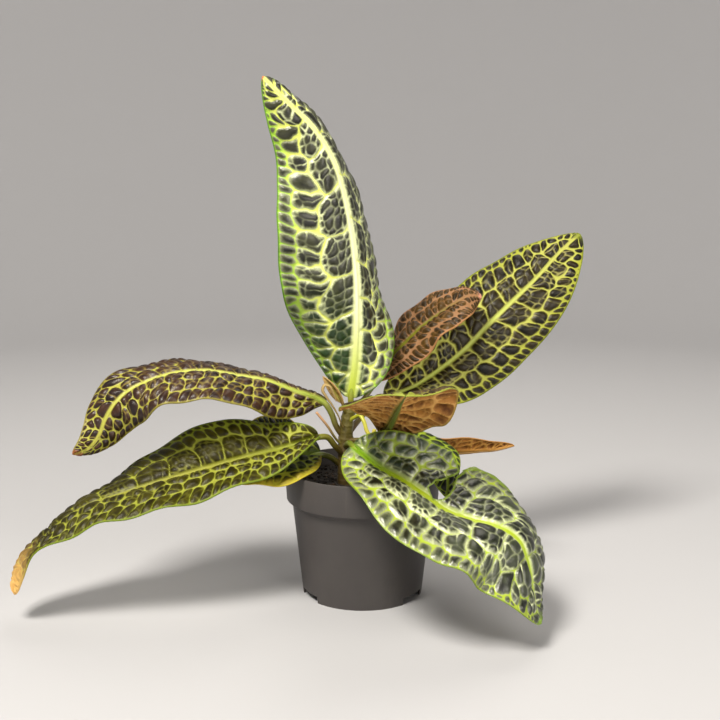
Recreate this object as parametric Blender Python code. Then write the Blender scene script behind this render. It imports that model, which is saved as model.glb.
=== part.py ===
"""A labisia in a 12 cm nursery pot.

Built in metres with +Z up. The origin is the middle of the pot's foot, on the ground.
The front of the plant faces -Y. Tables below are in millimetres.
"""
import math

import bmesh
import bpy
import numpy as np
from mathutils import Matrix

MM = 0.001
SEAT_GAP = 0.3
SHARP_ANGLE = math.radians(22)

# The pot
POT_HEIGHT = 100.0
POT_RIM_RADIUS = 60.0
POT_BAND_HEIGHT = 24.0
POT_BAND_FOOT_RADIUS = 58.8
POT_NECK_RADIUS = 54.4
POT_NECK_DROP = 4.0
POT_FOOT_RADIUS = 46.5
POT_WALL = 1.3
POT_LIP = 0.8
POT_FLOOR_HEIGHT = 6.0
POT_CENTRE_FOOT = 9.0
POT_CENTRE_DRAFT = 1.5
POT_SIDES = 48
NOTCH_ANGLES = (207.0, 327.0, 87.0)
NOTCH_WIDTH = 25.0
NOTCH_HEIGHT = 5.4
NOTCH_DEPTH = 16.0
DRAIN_HOLES = 6
DRAIN_RADIUS = 3.5
DRAIN_CIRCLE = 28.0
DRAIN_SIDES = 12
DRAIN_FIRST_ANGLE = 15.0

# The soil
SOIL_TOP = 87.0
SOIL_EDGE_DROP = 2.0
SOIL_INSET = 0.4
SOIL_RINGS = (48, 38, 28, 18, 9)
SOIL_BUMP = 1.3
SOIL_SIDES = 32
SOIL_SEED = 7

# The stem
STEM_ROUTE = [(-13, -1, 62), (-13, -1, 90), (-13, -1, 116), (-12.5, -1.5, 130), (-10, -3, 147)]
STEM_RADII = [6.4, 6.2, 5.8, 5.2, 4.2]
STEM_SIDES = 14
STEM_ROWS = 16
STEM_RING = 0.35
STEM_TOP_SINK = 0.06
STALK_ROUTE = [(-14, -2, 116), (-19, -5, 121), (-27, -9, 134), (-35, -12, 145)]
STALK_RADIUS = 1.0
STALK_ROWS = 7
STUB_ROUTE = [(-11, -4, 136), (-5, -9, 141), (-2, -13, 143), (1, -17, 139), (4, -20, 131), (6, -21, 129),
              (7.5, -21, 130), (9, -21, 134)]
STUB_RADIUS = 1.1
STUB_ROWS = 14
TWIG_SIDES = 6
TWIG_FOOT = 1.2

# The leaves: the blade, the petiole and the midrib that it becomes
BLADE_THICKNESS = 0.8
PETIOLE_RADIUS = 2.3
PETIOLE_ROWS = 4
PETIOLE_EASE = 1.0
RIB_TAPER = 0.9
RIB_LEAST = 0.6
RIB_DEPTH = 1.5
RIB_SHARE = 0.4
SECTION_TURN = math.radians(80)
GROOVE_TURN = math.radians(14)

# The puckered cells between the side ribs, in columns at shares of the half width
CELL_RISE = 3.4
OUTER_CELL_RISE = 2.2
FULL_RISE_WIDTH = 25.0
CELL_CENTRE = 0.33
ARCH_PLACE = 0.63
ARCH_SWING = 0.05
OUTER_CENTRE = 0.83

# The waved edge: its height, the side ribs in one wave, and the shift between the two edges
WAVE_RISE = 1.5
WAVE_RIBS = 2.0
WAVE_SHIFT = 2.0

# The rows across the blade, swept towards the tip at the edge
RIB_SWEEP = 0.07
RIB_BEND = 1.5
BASE_ROW = 0.014
TIP_ROWS = (0.972, 0.992)
SMALL_BLADE = 6.0
SMALL_TIP_ROWS = (0.93,)

# How far a bend of the route is eased: a share of the blade from EASE_FROM on, less at its base
EASE = 0.1
EASE_AT_BASE = 4.0
EASE_FROM = 0.15

# Each route runs from the stem to the tip, and the blade starts at its point number blade_from.
# face is the way that the upper side looks, and fold the rise of each half, in degrees, both
# at places from 0 at the blade's base to 1 at its tip.
LEAVES = {
    "leaf_tall": dict(
        route=[(-10, -3, 144), (-9, -6, 150), (-9, -8, 155), (-6, -12, 178), (-4, -15, 209),
               (-4, -16, 239), (-8, -18, 280), (-13, -22, 307), (-21, -28, 334), (-35, -36, 357),
               (-51, -44, 373), (-69, -54, 391)],
        blade_from=2, half_width=58, widest=0.43, fullness=0.75, ribs=10, finish="leaf_green",
        face=[(0, (-0.1, -1, 0)), (0.3, (0.45, -0.9, 0.1)), (0.6, (0.45, -0.85, 0.2)),
              (1, (0.1, -1, 0.05))],
        fold_left=[(0, -10), (0.125, -26), (0.25, -23), (0.375, -14), (0.5, -11), (0.625, -12),
                   (0.75, -24), (0.875, -22), (1, -26)],
        fold_right=[(0, -5), (0.125, -27), (0.25, -42), (0.375, -47), (0.5, -48), (0.625, -55),
                    (0.75, -60), (0.875, -60), (1, -55)]),
    "leaf_right_rear": dict(
        route=[(-9, 1, 128), (-4, 9, 133), (6, 22, 141), (18, 32, 146), (42, 42, 154), (60, 49, 165),
               (82, 57, 181), (105, 66, 203), (125, 74, 221), (141, 81, 235), (165, 92, 259),
               (181, 99, 272)],
        blade_from=3, half_width=42, widest=0.50, fullness=0.57, ribs=9, finish="leaf_green",
        face=[(0, (-0.25, -0.85, 0.45)), (0.3, (0, -1, 0)), (0.6, (-0.25, -0.9, 0.25)),
              (1, (-0.3, -0.9, 0.3))],
        fold_left=[(0, -3), (0.125, 0), (0.25, -1), (0.375, -7), (0.5, -12), (0.625, -6),
                   (0.75, -8), (0.875, -15), (1, -31)],
        fold_right=[(0, 30), (0.125, 31), (0.25, 13), (0.375, -2), (0.5, -12), (0.625, -16),
                    (0.75, -13), (0.875, -11), (1, -14)]),
    "leaf_young": dict(
        route=[(-9, -1, 139), (-4, 8, 145), (3, 16, 152), (11, 24, 162), (25, 32, 183), (36, 35, 193),
               (47, 38, 203), (58, 40, 211), (73, 43, 221), (86, 46, 227), (95, 48, 226)],
        blade_from=3, half_width=28, widest=0.53, fullness=0.59, ribs=7, finish="leaf_brown",
        face=[(0, (-0.45, -0.85, 0.35)), (0.5, (-0.35, -0.85, 0.35)), (1, (-0.2, -0.95, 0.25))],
        fold_left=[(0, -45), (0.25, -40), (0.5, -29), (0.75, -32), (1, -45)],
        fold_right=[(0, -4), (0.25, 6), (0.5, 32), (0.75, 34), (1, -8)]),
    "leaf_front": dict(
        route=[(-12, -3, 121), (-3, -8, 122), (5, -11, 124), (12, -18, 128), (18, -30, 136),
               (21, -50, 146), (24, -78, 161), (26, -108, 174), (28, -132, 183)],
        blade_from=3, half_width=42, widest=0.68, fullness=0.62, ribs=8, finish="leaf_brown",
        face=[(0, (0.16, 0.45, 0.88)), (0.5, (0.24, 0.36, 0.9)), (1, (0.04, 0.46, 0.89))],
        fold_left=[(0, -28), (0.25, -4), (0.5, 3), (0.75, 25), (1, 5)],
        fold_right=[(0, -15), (0.25, 2), (0.5, -10), (0.75, -15), (1, 2)]),
    "leaf_front_right": dict(
        route=[(-13, -4, 117), (-12, -12, 120), (-10, -20, 123), (-7, -30, 123), (3, -46, 118),
               (13, -57, 113), (31, -70, 106), (46, -79, 98), (58, -86, 91), (77, -94, 86),
               (91, -99, 84), (102, -103, 80), (109, -105, 74), (113, -107, 65), (116, -109, 53),
               (118, -111, 37), (123, -113, 17)],
        blade_from=3, half_width=56, widest=0.53, fullness=0.61, ribs=9, finish="leaf_green",
        face=[(0, (0.05, -0.9, 0.45)), (0.3, (0.35, -0.8, 0.5)), (0.6, (0.4, -0.75, 0.55)),
              (0.8, (0.4, -0.85, 0.3)), (1, (0.8, -0.6, 0.15))],
        fold_left=[(0, 55), (0.125, 30), (0.25, -1), (0.375, -12), (0.5, -14), (0.625, -33),
                   (0.75, -46), (0.875, -34), (1, -19)],
        fold_right=[(0, 21), (0.125, 26), (0.25, 26), (0.375, 19), (0.5, 21), (0.625, 14),
                    (0.75, 5), (0.875, 19), (1, 23)]),
    "leaf_left": dict(
        route=[(-15, -2, 124), (-20, -4, 132), (-24, -5, 143), (-28, -6, 150), (-53, -12, 163),
               (-73, -16, 171), (-92, -20, 175), (-118, -26, 180), (-138, -30, 179), (-157, -35, 174),
               (-172, -39, 167), (-181, -42, 159), (-188, -44, 148), (-194, -46, 134), (-201, -48, 126),
               (-212, -50, 122)],
        blade_from=3, half_width=35, widest=0.43, fullness=0.65, ribs=11, finish="leaf_purple",
        face=[(0, (-0.1, -0.7, 0.7)), (0.3, (0, -0.5, 0.85)), (0.6, (-0.25, -0.45, 0.85)),
              (1, (-0.3, -0.9, -0.2))],
        fold_left=[(0, -40), (0.125, -32), (0.25, -8), (0.375, 3), (0.5, -6), (0.625, -5),
                   (0.75, -28), (0.875, -55), (1, -55)],
        fold_right=[(0, -41), (0.125, -45), (0.25, -36), (0.375, -29), (0.5, -20), (0.625, -10),
                    (0.75, -2), (0.875, -1), (1, 15)]),
    "leaf_right_dark": dict(
        route=[(-10, -1, 104), (-5, 1, 111), (1, 2, 117), (10, 1, 121), (29, -4, 121), (48, -14, 118),
               (58, -26, 111), (63, -34, 100), (62, -38, 86)],
        blade_from=3, half_width=24, widest=0.52, fullness=0.75, ribs=5, finish="leaf_green",
        face=[(0, (0, -0.5, 0.9)), (0.5, (0.3, -0.6, 0.8)), (1, (0.6, -0.7, 0.3))],
        fold_left=[(0, -10), (0.5, -12), (1, -15)],
        fold_right=[(0, 0), (0.5, -5), (1, -10)]),
    "leaf_lower_left": dict(
        route=[(-15, -4, 110), (-21, -9, 118), (-27, -13, 126), (-33, -17, 127), (-44, -22, 124),
               (-60, -26, 120), (-77, -30, 117), (-108, -36, 110), (-132, -41, 104), (-155, -45, 98),
               (-179, -49, 91), (-202, -53, 84), (-218, -57, 75), (-233, -61, 62), (-245, -65, 48),
               (-252, -68, 33), (-254, -70, 22)],
        blade_from=3, half_width=38, widest=0.43, fullness=0.60, ribs=11, finish="leaf_green",
        face=[(0, (0, -0.2, 1)), (0.3, (0, -0.2, 1)), (0.6, (-0.35, 0, 0.95)), (1, (-0.85, 0, 0.5))],
        fold_left=[(0, 35), (0.125, -4), (0.25, -4), (0.375, -10), (0.5, -13), (0.625, -17),
                   (0.75, -21), (0.875, -9), (1, -42)],
        fold_right=[(0, 72), (0.125, 28), (0.25, 43), (0.375, 30), (0.5, 19), (0.625, 7), (0.75, 1),
                    (0.875, 13), (1, 47)]),
    "leaf_right_edge": dict(
        route=[(-9, 1, 116), (-2, 6, 119), (6, 11, 117), (14, 15, 113), (34, 20, 107), (54, 22, 105),
               (80, 22, 105), (93, 22, 106), (105, 21, 107), (120, 20, 111)],
        blade_from=3, half_width=17, widest=0.44, fullness=0.66, ribs=6, finish="leaf_brown",
        face=[(0, (0, 0.1, 1)), (1, (0, 0.1, 1))],
        fold_left=[(0, 25), (0.25, 25), (0.5, 25), (0.75, 25), (1, 25)],
        fold_right=[(0, 59), (0.25, 57), (0.5, 53), (0.75, 60), (1, 72)]),
    "leaf_low_left": dict(
        route=[(-15, -1, 98), (-20, -3, 104), (-26, -6, 109), (-32, -8, 111), (-44, -11, 111),
               (-59, -13, 110), (-77, -12, 109), (-94, -9, 108), (-111, -4, 106)],
        blade_from=3, half_width=39, widest=0.45, fullness=0.60, ribs=6, finish="leaf_green",
        face=[(0, (0, -0.1, 1)), (1, (0, -0.2, 0.95))],
        fold_left=[(0, -9), (0.5, -8), (1, -5)],
        fold_right=[(0, 36), (0.5, 38), (1, 45)]),
    "leaf_unfolding": dict(
        route=[(-12, -4, 141), (-14, -7, 146), (-15, -9, 151), (-19, -10, 158), (-24, -12, 166),
               (-30, -14, 173)],
        blade_from=2, half_width=4.5, widest=0.45, fullness=0.7, ribs=2, finish="leaf_brown",
        face=[(0, (-0.5, -0.85, 0.15)), (1, (-0.5, -0.85, 0.15))],
        fold_left=[(0, 25), (1, 25)],
        fold_right=[(0, 25), (1, 25)]),
}
PETIOLE_RADII = {"leaf_unfolding": 1.3, "leaf_right_dark": 1.8, "leaf_right_edge": 1.8, "leaf_young": 1.9}

# A young leaf that is still furled, bent over in a loop
CURL_ROUTE = [(-14, -4, 131), (-16, -10, 135), (-18, -14, 142), (-23, -18, 152), (-28, -20, 160),
              (-30, -20, 164), (-28, -20, 168), (-25, -20, 167), (-22, -19, 161), (-20, -18, 155)]
CURL_RADII = [1.4, 1.4, 1.5, 2.3, 3.0, 3.2, 3.2, 3.0, 2.2, 0.8]
CURL_FLATNESS = 0.35
CURL_ROWS = 18
CURL_SIDES = 8

# The tear in the front right leaf, a hole that is open to the leaf's edge: its outline seen from the front
TEAR_CENTRE = (60, -62, 104)
TEAR_HOLE = [(7.5, 4.5), (7, 3), (5.5, 0.5), (3, -2.5), (0, -4.5), (-3.5, -6.5), (-6.5, -7), (-10, -6.5),
             (-11.5, -3.5), (-13, 0.5), (-10, 2), (-7.5, 4), (-4.5, 3.5), (-0.5, 4), (3, 4.5), (6.5, 5.5)]
TEAR_MOUTH = [(10.5, 7), (9, 11.5), (7, 15), (6.5, 18), (10, 23), (25, 20), (37, 8), (34, 2.5), (25, 6),
              (19, 7.5), (13.5, 7), (11, 6)]
TEAR_DEPTH = 60.0

FINISHES = {
    "leaf_green": ((0.13, 0.25, 0.04), 0.35),
    "leaf_purple": ((0.10, 0.09, 0.05), 0.4),
    "leaf_brown": ((0.22, 0.11, 0.05), 0.45),
    "stem_green": ((0.18, 0.17, 0.04), 0.5),
    "potting_soil": ((0.03, 0.022, 0.016), 0.95),
    "pot_plastic": ((0.10, 0.10, 0.105), 0.5),
}


def clear_scene():
    for thing in list(bpy.data.objects):
        bpy.data.objects.remove(thing, do_unlink=True)


def finish(name):
    """The Principled material of one finish, made anew for each piece."""
    colour, roughness = FINISHES[name]
    material = bpy.data.materials.new(name)
    material.use_nodes = True
    shader = material.node_tree.nodes["Principled BSDF"]
    shader.inputs["Base Color"].default_value = (*colour, 1)
    shader.inputs["Roughness"].default_value = roughness
    shader.inputs["Metallic"].default_value = 0
    return material


def add_object(name, mesh, finish_name):
    """Turn a bmesh in millimetres into a named object in metres."""
    bmesh.ops.scale(mesh, vec=(MM, MM, MM), verts=mesh.verts)
    bmesh.ops.recalc_face_normals(mesh, faces=mesh.faces)
    data = bpy.data.meshes.new(name)
    mesh.to_mesh(data)
    mesh.free()
    thing = bpy.data.objects.new(name, data)
    bpy.context.scene.collection.objects.link(thing)
    data.materials.append(finish(finish_name))
    return thing


def as_cutter(thing):
    thing.hide_render = True
    thing.display_type = "WIRE"
    return thing


def combine(thing, other, operation, solver="EXACT"):
    """Cut a piece by another, or join the other to it, and keep the result as its mesh."""
    modifier = thing.modifiers.new(operation.lower(), "BOOLEAN")
    modifier.operation = operation
    modifier.object = other
    modifier.solver = solver
    bpy.context.view_layer.update()
    result = bpy.data.meshes.new_from_object(thing.evaluated_get(bpy.context.evaluated_depsgraph_get()))
    thing.modifiers.clear()
    thing.data = result


def unit(rows):
    return rows / np.linalg.norm(rows, axis=-1, keepdims=True)


def blend(knots, values, places):
    """A smooth curve through values at knots, read at the places."""
    knots = np.asarray(knots, float)
    values = np.asarray(values, float)
    if values.ndim == 1:
        return blend(knots, values[:, None], places)[:, 0]
    gaps = np.diff(knots)
    slopes = np.diff(values, axis=0) / gaps[:, None]
    tangents = np.empty_like(values)
    if len(knots) == 2:
        tangents[:] = slopes[0]
    else:
        weights = (slopes[1:] * gaps[:-1, None] + slopes[:-1] * gaps[1:, None])
        tangents[1:-1] = weights / (gaps[:-1] + gaps[1:])[:, None]
        tangents[0] = 1.5 * slopes[0] - 0.5 * tangents[1]
        tangents[-1] = 1.5 * slopes[-1] - 0.5 * tangents[-2]
    first = np.clip(np.searchsorted(knots, places, side="right") - 1, 0, len(knots) - 2)
    t = np.clip((places - knots[first]) / gaps[first], 0, 1)[:, None]
    gap = gaps[first][:, None]
    return ((1 + 2 * t) * (1 - t) ** 2 * values[first] + t * (1 - t) ** 2 * gap * tangents[first]
            + t * t * (3 - 2 * t) * values[first + 1] + t * t * (t - 1) * gap * tangents[first + 1])


def distances(route):
    steps = np.linalg.norm(np.diff(np.asarray(route, float), axis=0), axis=1)
    return np.concatenate([[0.0], np.cumsum(steps)])


def route_frame(route, along, faces, face_places, ease):
    """Centre, normal and side of a route at distances along it, its bends eased over ease."""
    knots = distances(route)
    centre = blend(knots, route, along)
    ahead = blend(knots, route, np.minimum(along + ease, knots[-1]))
    behind = blend(knots, route, np.maximum(along - ease, 0))
    tangent = unit(ahead - behind)
    face = blend([row[0] for row in faces], unit(np.array([row[1] for row in faces], float)), face_places)
    normal = unit(face - (face * tangent).sum(-1, keepdims=True) * tangent)
    return centre, normal, np.cross(tangent, normal)


def half_width(leaf, place):
    """Width of half a blade, rounded at its base and pointed at its tip."""
    power = math.log(0.5) / math.log(leaf["widest"])
    return leaf["half_width"] * np.sin(np.pi * np.clip(place, 0, 1) ** power) ** leaf["fullness"]


def blade_rows(leaf):
    """Places of the rows of a blade, and which of them run through the middle of the cells."""
    count = 2 * leaf["ribs"]
    last = TIP_ROWS if leaf["half_width"] > SMALL_BLADE else SMALL_TIP_ROWS
    places = [BASE_ROW] + [step / count for step in range(1, count)] + list(last)
    middle = [False] + [step % 2 == 1 for step in range(1, count)] + [False] * len(last)
    return np.array(places), np.array(middle)


def relief(across, middle, size):
    """Rise of the blade between its veins: cells beside the midrib, and a row outside them."""
    inner = np.abs(np.abs(across) - CELL_CENTRE) < 0.01
    outer = np.abs(np.abs(across) - OUTER_CENTRE) < 0.01
    return size * (CELL_RISE * (inner & middle) + OUTER_CELL_RISE * (outer & ~middle))


def wave(leaf, across, place, size):
    """Rise of the blade's waved edge, which fades towards the midrib."""
    turns = 2 * math.pi * leaf["ribs"] / WAVE_RIBS * place + WAVE_SHIFT * np.sign(across)
    fade = np.abs(across) ** 3 * np.sqrt(np.sin(np.pi * np.clip(place, 0, 1)))
    return size * WAVE_RISE * np.sin(turns) * fade


def leaf_rings(name, leaf):
    """Rings round the petiole and blade, root first, and the rise of each of their points."""
    knots = distances(leaf["route"])
    start = knots[leaf["blade_from"]]
    length = knots[-1] - start
    stem_end = PETIOLE_RADII.get(name, PETIOLE_RADIUS)
    columns = np.array([-1, -OUTER_CENTRE, -ARCH_PLACE, -CELL_CENTRE, -1e-6, 0,
                        1e-6, CELL_CENTRE, ARCH_PLACE, OUTER_CENTRE, 1])
    rings = []
    rises = []
    near = np.abs(columns) < CELL_CENTRE / 2
    angle = np.where(near, np.sign(columns) * GROOVE_TURN, columns * SECTION_TURN)
    for along in np.linspace(0, start, PETIOLE_ROWS):
        here = np.array([along])
        centre, normal, side = route_frame(leaf["route"], here, leaf["face"], np.zeros(1), PETIOLE_EASE)
        out = np.sin(angle)[:, None] * side
        up = np.cos(angle)[:, None] * normal
        top = centre + stem_end * (out + up)
        under = centre + stem_end * (out - up)
        rings.append(np.concatenate([top, under[::-1]]))
        rises.append(np.zeros(2 * len(columns)))
    places, middles = blade_rows(leaf)
    for place, middle in zip(places, middles):
        rib_half = max(RIB_LEAST, stem_end * (1 - RIB_TAPER * place))
        swing = ARCH_SWING if middle else -ARCH_SWING
        spread = np.abs(columns) + swing * (np.abs(np.abs(columns) - ARCH_PLACE) < 0.01)
        here = place + RIB_SWEEP * 4 * place * (1 - place) * spread ** RIB_BEND
        width = half_width(leaf, here)
        rib = np.minimum(rib_half, RIB_SHARE * width)
        reach = np.where(columns == 0, 0, rib + spread * (width - rib))
        ease = EASE_AT_BASE + (EASE * length - EASE_AT_BASE) * np.minimum(1, here / EASE_FROM)
        centre, normal, side = route_frame(leaf["route"], start + here * length, leaf["face"], here, ease)
        left = blend([row[0] for row in leaf["fold_left"]], [row[1] for row in leaf["fold_left"]], here)
        right = blend([row[0] for row in leaf["fold_right"]], [row[1] for row in leaf["fold_right"]], here)
        fold = np.radians(np.where(columns < 0, left, right)) * (columns != 0)
        hand = np.sign(columns)
        sheet = hand[:, None] * np.cos(fold)[:, None] * side + np.sin(fold)[:, None] * normal
        up = np.cos(fold)[:, None] * normal - (hand * np.sin(fold))[:, None] * side
        size = min(1.0, width.max() / FULL_RISE_WIDTH)
        rise = relief(columns, middle, size) + wave(leaf, columns, here, size)
        surface = centre + reach[:, None] * sheet + rise[:, None] * up
        ridge = np.where(columns == 0, RIB_DEPTH * rib_half, 0)
        top = surface + BLADE_THICKNESS / 2 * up
        under = surface - (BLADE_THICKNESS / 2 + ridge)[:, None] * up
        rings.append(np.concatenate([top, under[::-1]]))
        rises.append(np.concatenate([rise, rise[::-1]]))
    tip = blend(knots, leaf["route"], knots[-1:])
    rings.append(np.repeat(tip, 2 * len(columns), axis=0))
    rises.append(np.zeros(2 * len(columns)))
    return np.array(rings), np.array(rises)


def loft(rings, rises=None):
    """A closed skin over rings of points, split alike on both faces, each end drawn shut."""
    rows, ring = rings.shape[:2]
    mesh = bmesh.new()
    bmesh.ops.create_grid(mesh, x_segments=ring, y_segments=rows - 1, size=1)
    mesh.verts.ensure_lookup_table()
    columns = ring + 1
    if rises is None:
        rises = np.zeros((rows, ring))
    straight = []
    crossed = []
    for face in mesh.faces:
        corners = [divmod(vert.index, columns) for vert in face.verts]
        heights = [rises[row, column % ring] for row, column in corners]
        middle = max(range(4), key=lambda corner: heights[corner])
        if max(heights) == 0:
            middle = 0 if corners[0][1] < ring // 2 else 1
        (straight if middle % 2 == 0 else crossed).append(face)
    bmesh.ops.triangulate(mesh, faces=straight, quad_method="FIXED")
    bmesh.ops.triangulate(mesh, faces=crossed, quad_method="ALTERNATE")
    for vert in mesh.verts:
        row, column = divmod(vert.index, columns)
        vert.co = rings[row, column % ring]
    bmesh.ops.remove_doubles(mesh, verts=mesh.verts, dist=0.0005)
    bmesh.ops.holes_fill(mesh, edges=[edge for edge in mesh.edges if edge.is_boundary])
    bmesh.ops.triangulate(mesh, faces=[face for face in mesh.faces if len(face.verts) > 3])
    return mesh


def tube_rings(route, radii, sides, rows, ring_rise=0.0, extra=0.0, flatness=1.0):
    """Rings along a route, round or flattened, with a slight swelling at every third ring."""
    knots = distances(route)
    along = np.linspace(0, knots[-1], rows)
    upright = [(0, (0.1, -1, 0.05)), (1, (0.1, -1, 0.05))]
    centre, normal, side = route_frame(route, along, upright, along / knots[-1], 0.5)
    radius = blend(knots, radii, along) + extra
    radius = radius + ring_rise * (np.arange(rows) % 3 == 1)
    turn = (np.arange(sides) * 2 * math.pi / sides)[None, :, None]
    out = flatness * np.cos(turn) * side[:, None] + np.sin(turn) * normal[:, None]
    return centre[:, None] + radius[:, None, None] * out


def turned(profile, sides):
    """A solid of revolution about the Z axis from a closed or axis-to-axis outline."""
    mesh = bmesh.new()
    verts = [mesh.verts.new((radius, 0, height)) for radius, height in profile]
    edges = [mesh.edges.new(pair) for pair in zip(verts, verts[1:])]
    bmesh.ops.spin(mesh, geom=verts + edges, cent=(0, 0, 0), axis=(0, 0, 1), angle=2 * math.pi,
                   steps=sides, use_merge=True)
    bmesh.ops.remove_doubles(mesh, verts=mesh.verts, dist=0.001)
    bmesh.ops.triangulate(mesh, faces=mesh.faces)
    return mesh


def pot_outer(height):
    """Outer radius of the tapered body below the rim band."""
    neck = POT_HEIGHT - POT_BAND_HEIGHT - POT_NECK_DROP
    return POT_FOOT_RADIUS + (POT_NECK_RADIUS - POT_FOOT_RADIUS) * height / neck


def make_pot():
    band_foot = POT_HEIGHT - POT_BAND_HEIGHT
    neck = band_foot - POT_NECK_DROP
    floor_top = POT_FLOOR_HEIGHT + POT_WALL
    profile = [
        (0, 0), (POT_CENTRE_FOOT, 0), (POT_CENTRE_FOOT + POT_CENTRE_DRAFT, POT_FLOOR_HEIGHT),
        (pot_outer(POT_FLOOR_HEIGHT) - 2 * POT_WALL, POT_FLOOR_HEIGHT),
        (pot_outer(0) - POT_WALL, 0), (pot_outer(0), 0),
        (POT_NECK_RADIUS, neck), (POT_BAND_FOOT_RADIUS, band_foot),
        (POT_RIM_RADIUS, POT_HEIGHT - POT_LIP), (POT_RIM_RADIUS - POT_LIP / 2, POT_HEIGHT),
        (POT_RIM_RADIUS - POT_WALL, POT_HEIGHT), (POT_BAND_FOOT_RADIUS - POT_WALL, band_foot + POT_LIP),
        (POT_NECK_RADIUS - POT_WALL, neck + POT_LIP),
        (pot_outer(floor_top) - POT_WALL, floor_top),
        (POT_CENTRE_FOOT - POT_CENTRE_DRAFT / 2, floor_top), (POT_CENTRE_FOOT - POT_CENTRE_DRAFT, POT_WALL),
        (0, POT_WALL),
    ]
    pot = add_object("pot", turned(profile, POT_SIDES), "pot_plastic")
    for number, angle in enumerate(NOTCH_ANGLES):
        mesh = bmesh.new()
        bmesh.ops.create_cube(mesh, size=1)
        bmesh.ops.scale(mesh, vec=(NOTCH_DEPTH, NOTCH_WIDTH, 2 * NOTCH_HEIGHT), verts=mesh.verts)
        bmesh.ops.translate(mesh, vec=(POT_FOOT_RADIUS, 0, 0), verts=mesh.verts)
        bmesh.ops.rotate(mesh, matrix=Matrix.Rotation(math.radians(angle), 3, "Z"), verts=mesh.verts)
        cutter = as_cutter(add_object(f"cut_notch_{number}", mesh, "pot_plastic"))
        combine(pot, cutter, "DIFFERENCE")
        bpy.data.objects.remove(cutter)
    for number in range(DRAIN_HOLES):
        mesh = bmesh.new()
        bmesh.ops.create_cone(mesh, cap_ends=True, segments=DRAIN_SIDES, radius1=DRAIN_RADIUS,
                              radius2=DRAIN_RADIUS, depth=POT_FLOOR_HEIGHT)
        angle = math.radians(DRAIN_FIRST_ANGLE + 360 / DRAIN_HOLES * number)
        place = (DRAIN_CIRCLE * math.cos(angle), DRAIN_CIRCLE * math.sin(angle), POT_FLOOR_HEIGHT)
        bmesh.ops.translate(mesh, vec=place, verts=mesh.verts)
        cutter = as_cutter(add_object(f"cut_drain_{number}", mesh, "pot_plastic"))
        combine(pot, cutter, "DIFFERENCE")
        bpy.data.objects.remove(cutter)
    return pot


def make_soil(stem_cutter):
    band_foot = POT_HEIGHT - POT_BAND_HEIGHT
    neck = band_foot - POT_NECK_DROP
    floor_top = POT_FLOOR_HEIGHT + POT_WALL + SEAT_GAP
    inset = POT_WALL + SOIL_INSET
    edge = POT_BAND_FOOT_RADIUS - inset
    profile = [(0, floor_top), (pot_outer(floor_top) - inset, floor_top),
               (POT_NECK_RADIUS - inset, neck + POT_LIP), (edge, band_foot + POT_LIP),
               (edge, SOIL_TOP - SOIL_EDGE_DROP), (edge - 1, SOIL_TOP)]
    profile += [(radius, SOIL_TOP) for radius in SOIL_RINGS] + [(0, SOIL_TOP)]
    mesh = turned(profile, SOIL_SIDES)
    rng = np.random.default_rng(SOIL_SEED)
    for vert in mesh.verts:
        if vert.co.z > SOIL_TOP - SOIL_EDGE_DROP / 2:
            vert.co.z += rng.uniform(-SOIL_BUMP, SOIL_BUMP)
    soil = add_object("soil", mesh, "potting_soil")
    combine(soil, stem_cutter, "DIFFERENCE")
    return soil


def make_stem():
    rings = tube_rings(STEM_ROUTE, STEM_RADII, STEM_SIDES, STEM_ROWS, STEM_RING)
    stem = add_object("stem", loft(rings), "stem_green")
    twigs = [("stalk", STALK_ROUTE, STALK_RADIUS, STALK_ROWS), ("stub", STUB_ROUTE, STUB_RADIUS, STUB_ROWS)]
    for name, route, radius, rows in twigs:
        rings = tube_rings(route, [TWIG_FOOT * radius] + [radius] * (len(route) - 1), TWIG_SIDES, rows)
        twig = add_object(name, loft(rings), "stem_green")
        combine(stem, twig, "UNION")
        bpy.data.objects.remove(twig)
    return stem


def tear_cutter():
    """The outline of the tear, drawn through the leaf."""
    mesh = bmesh.new()
    x, y, z = TEAR_CENTRE
    outline = TEAR_HOLE + TEAR_MOUTH
    ring = [mesh.verts.new((x + across, y - TEAR_DEPTH / 2, z + up)) for across, up in outline]
    face = mesh.faces.new(ring)
    moved = bmesh.ops.extrude_face_region(mesh, geom=[face])["geom"]
    verts = [thing for thing in moved if isinstance(thing, bmesh.types.BMVert)]
    bmesh.ops.translate(mesh, vec=(0, TEAR_DEPTH, 0), verts=verts)
    return as_cutter(add_object("cut_tear", mesh, "leaf_green"))


def make_curled_leaf(stem_cutter):
    rings = tube_rings(CURL_ROUTE, CURL_RADII, CURL_SIDES, CURL_ROWS, flatness=CURL_FLATNESS)
    thing = add_object("leaf_curled", loft(rings), "leaf_brown")
    combine(thing, stem_cutter, "DIFFERENCE")


def make_leaf(name, leaf, stem_cutter):
    rings, rises = leaf_rings(name, leaf)
    thing = add_object(name, loft(rings, rises), leaf["finish"])
    combine(thing, stem_cutter, "DIFFERENCE")
    return thing


def main():
    clear_scene()
    make_pot()
    make_stem()
    rings = tube_rings(STEM_ROUTE, STEM_RADII, STEM_SIDES, STEM_ROWS, STEM_RING, SEAT_GAP)
    rings[0, :, 2] -= SEAT_GAP
    rings[-1] += (rings[-1].mean(0) - rings[-2].mean(0)) * STEM_TOP_SINK
    stem_cutter = as_cutter(add_object("cut_stem", loft(rings), "stem_green"))
    make_soil(stem_cutter)
    for name, leaf in LEAVES.items():
        thing = make_leaf(name, leaf, stem_cutter)
        if name == "leaf_front_right":
            cutter = tear_cutter()
            combine(thing, cutter, "DIFFERENCE")
            bpy.data.objects.remove(cutter)
    make_curled_leaf(stem_cutter)
    bpy.data.objects.remove(stem_cutter)
    for thing in bpy.data.objects:
        thing.data.shade_smooth()
        thing.data.set_sharp_from_angle(angle=SHARP_ANGLE)


main()
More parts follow.
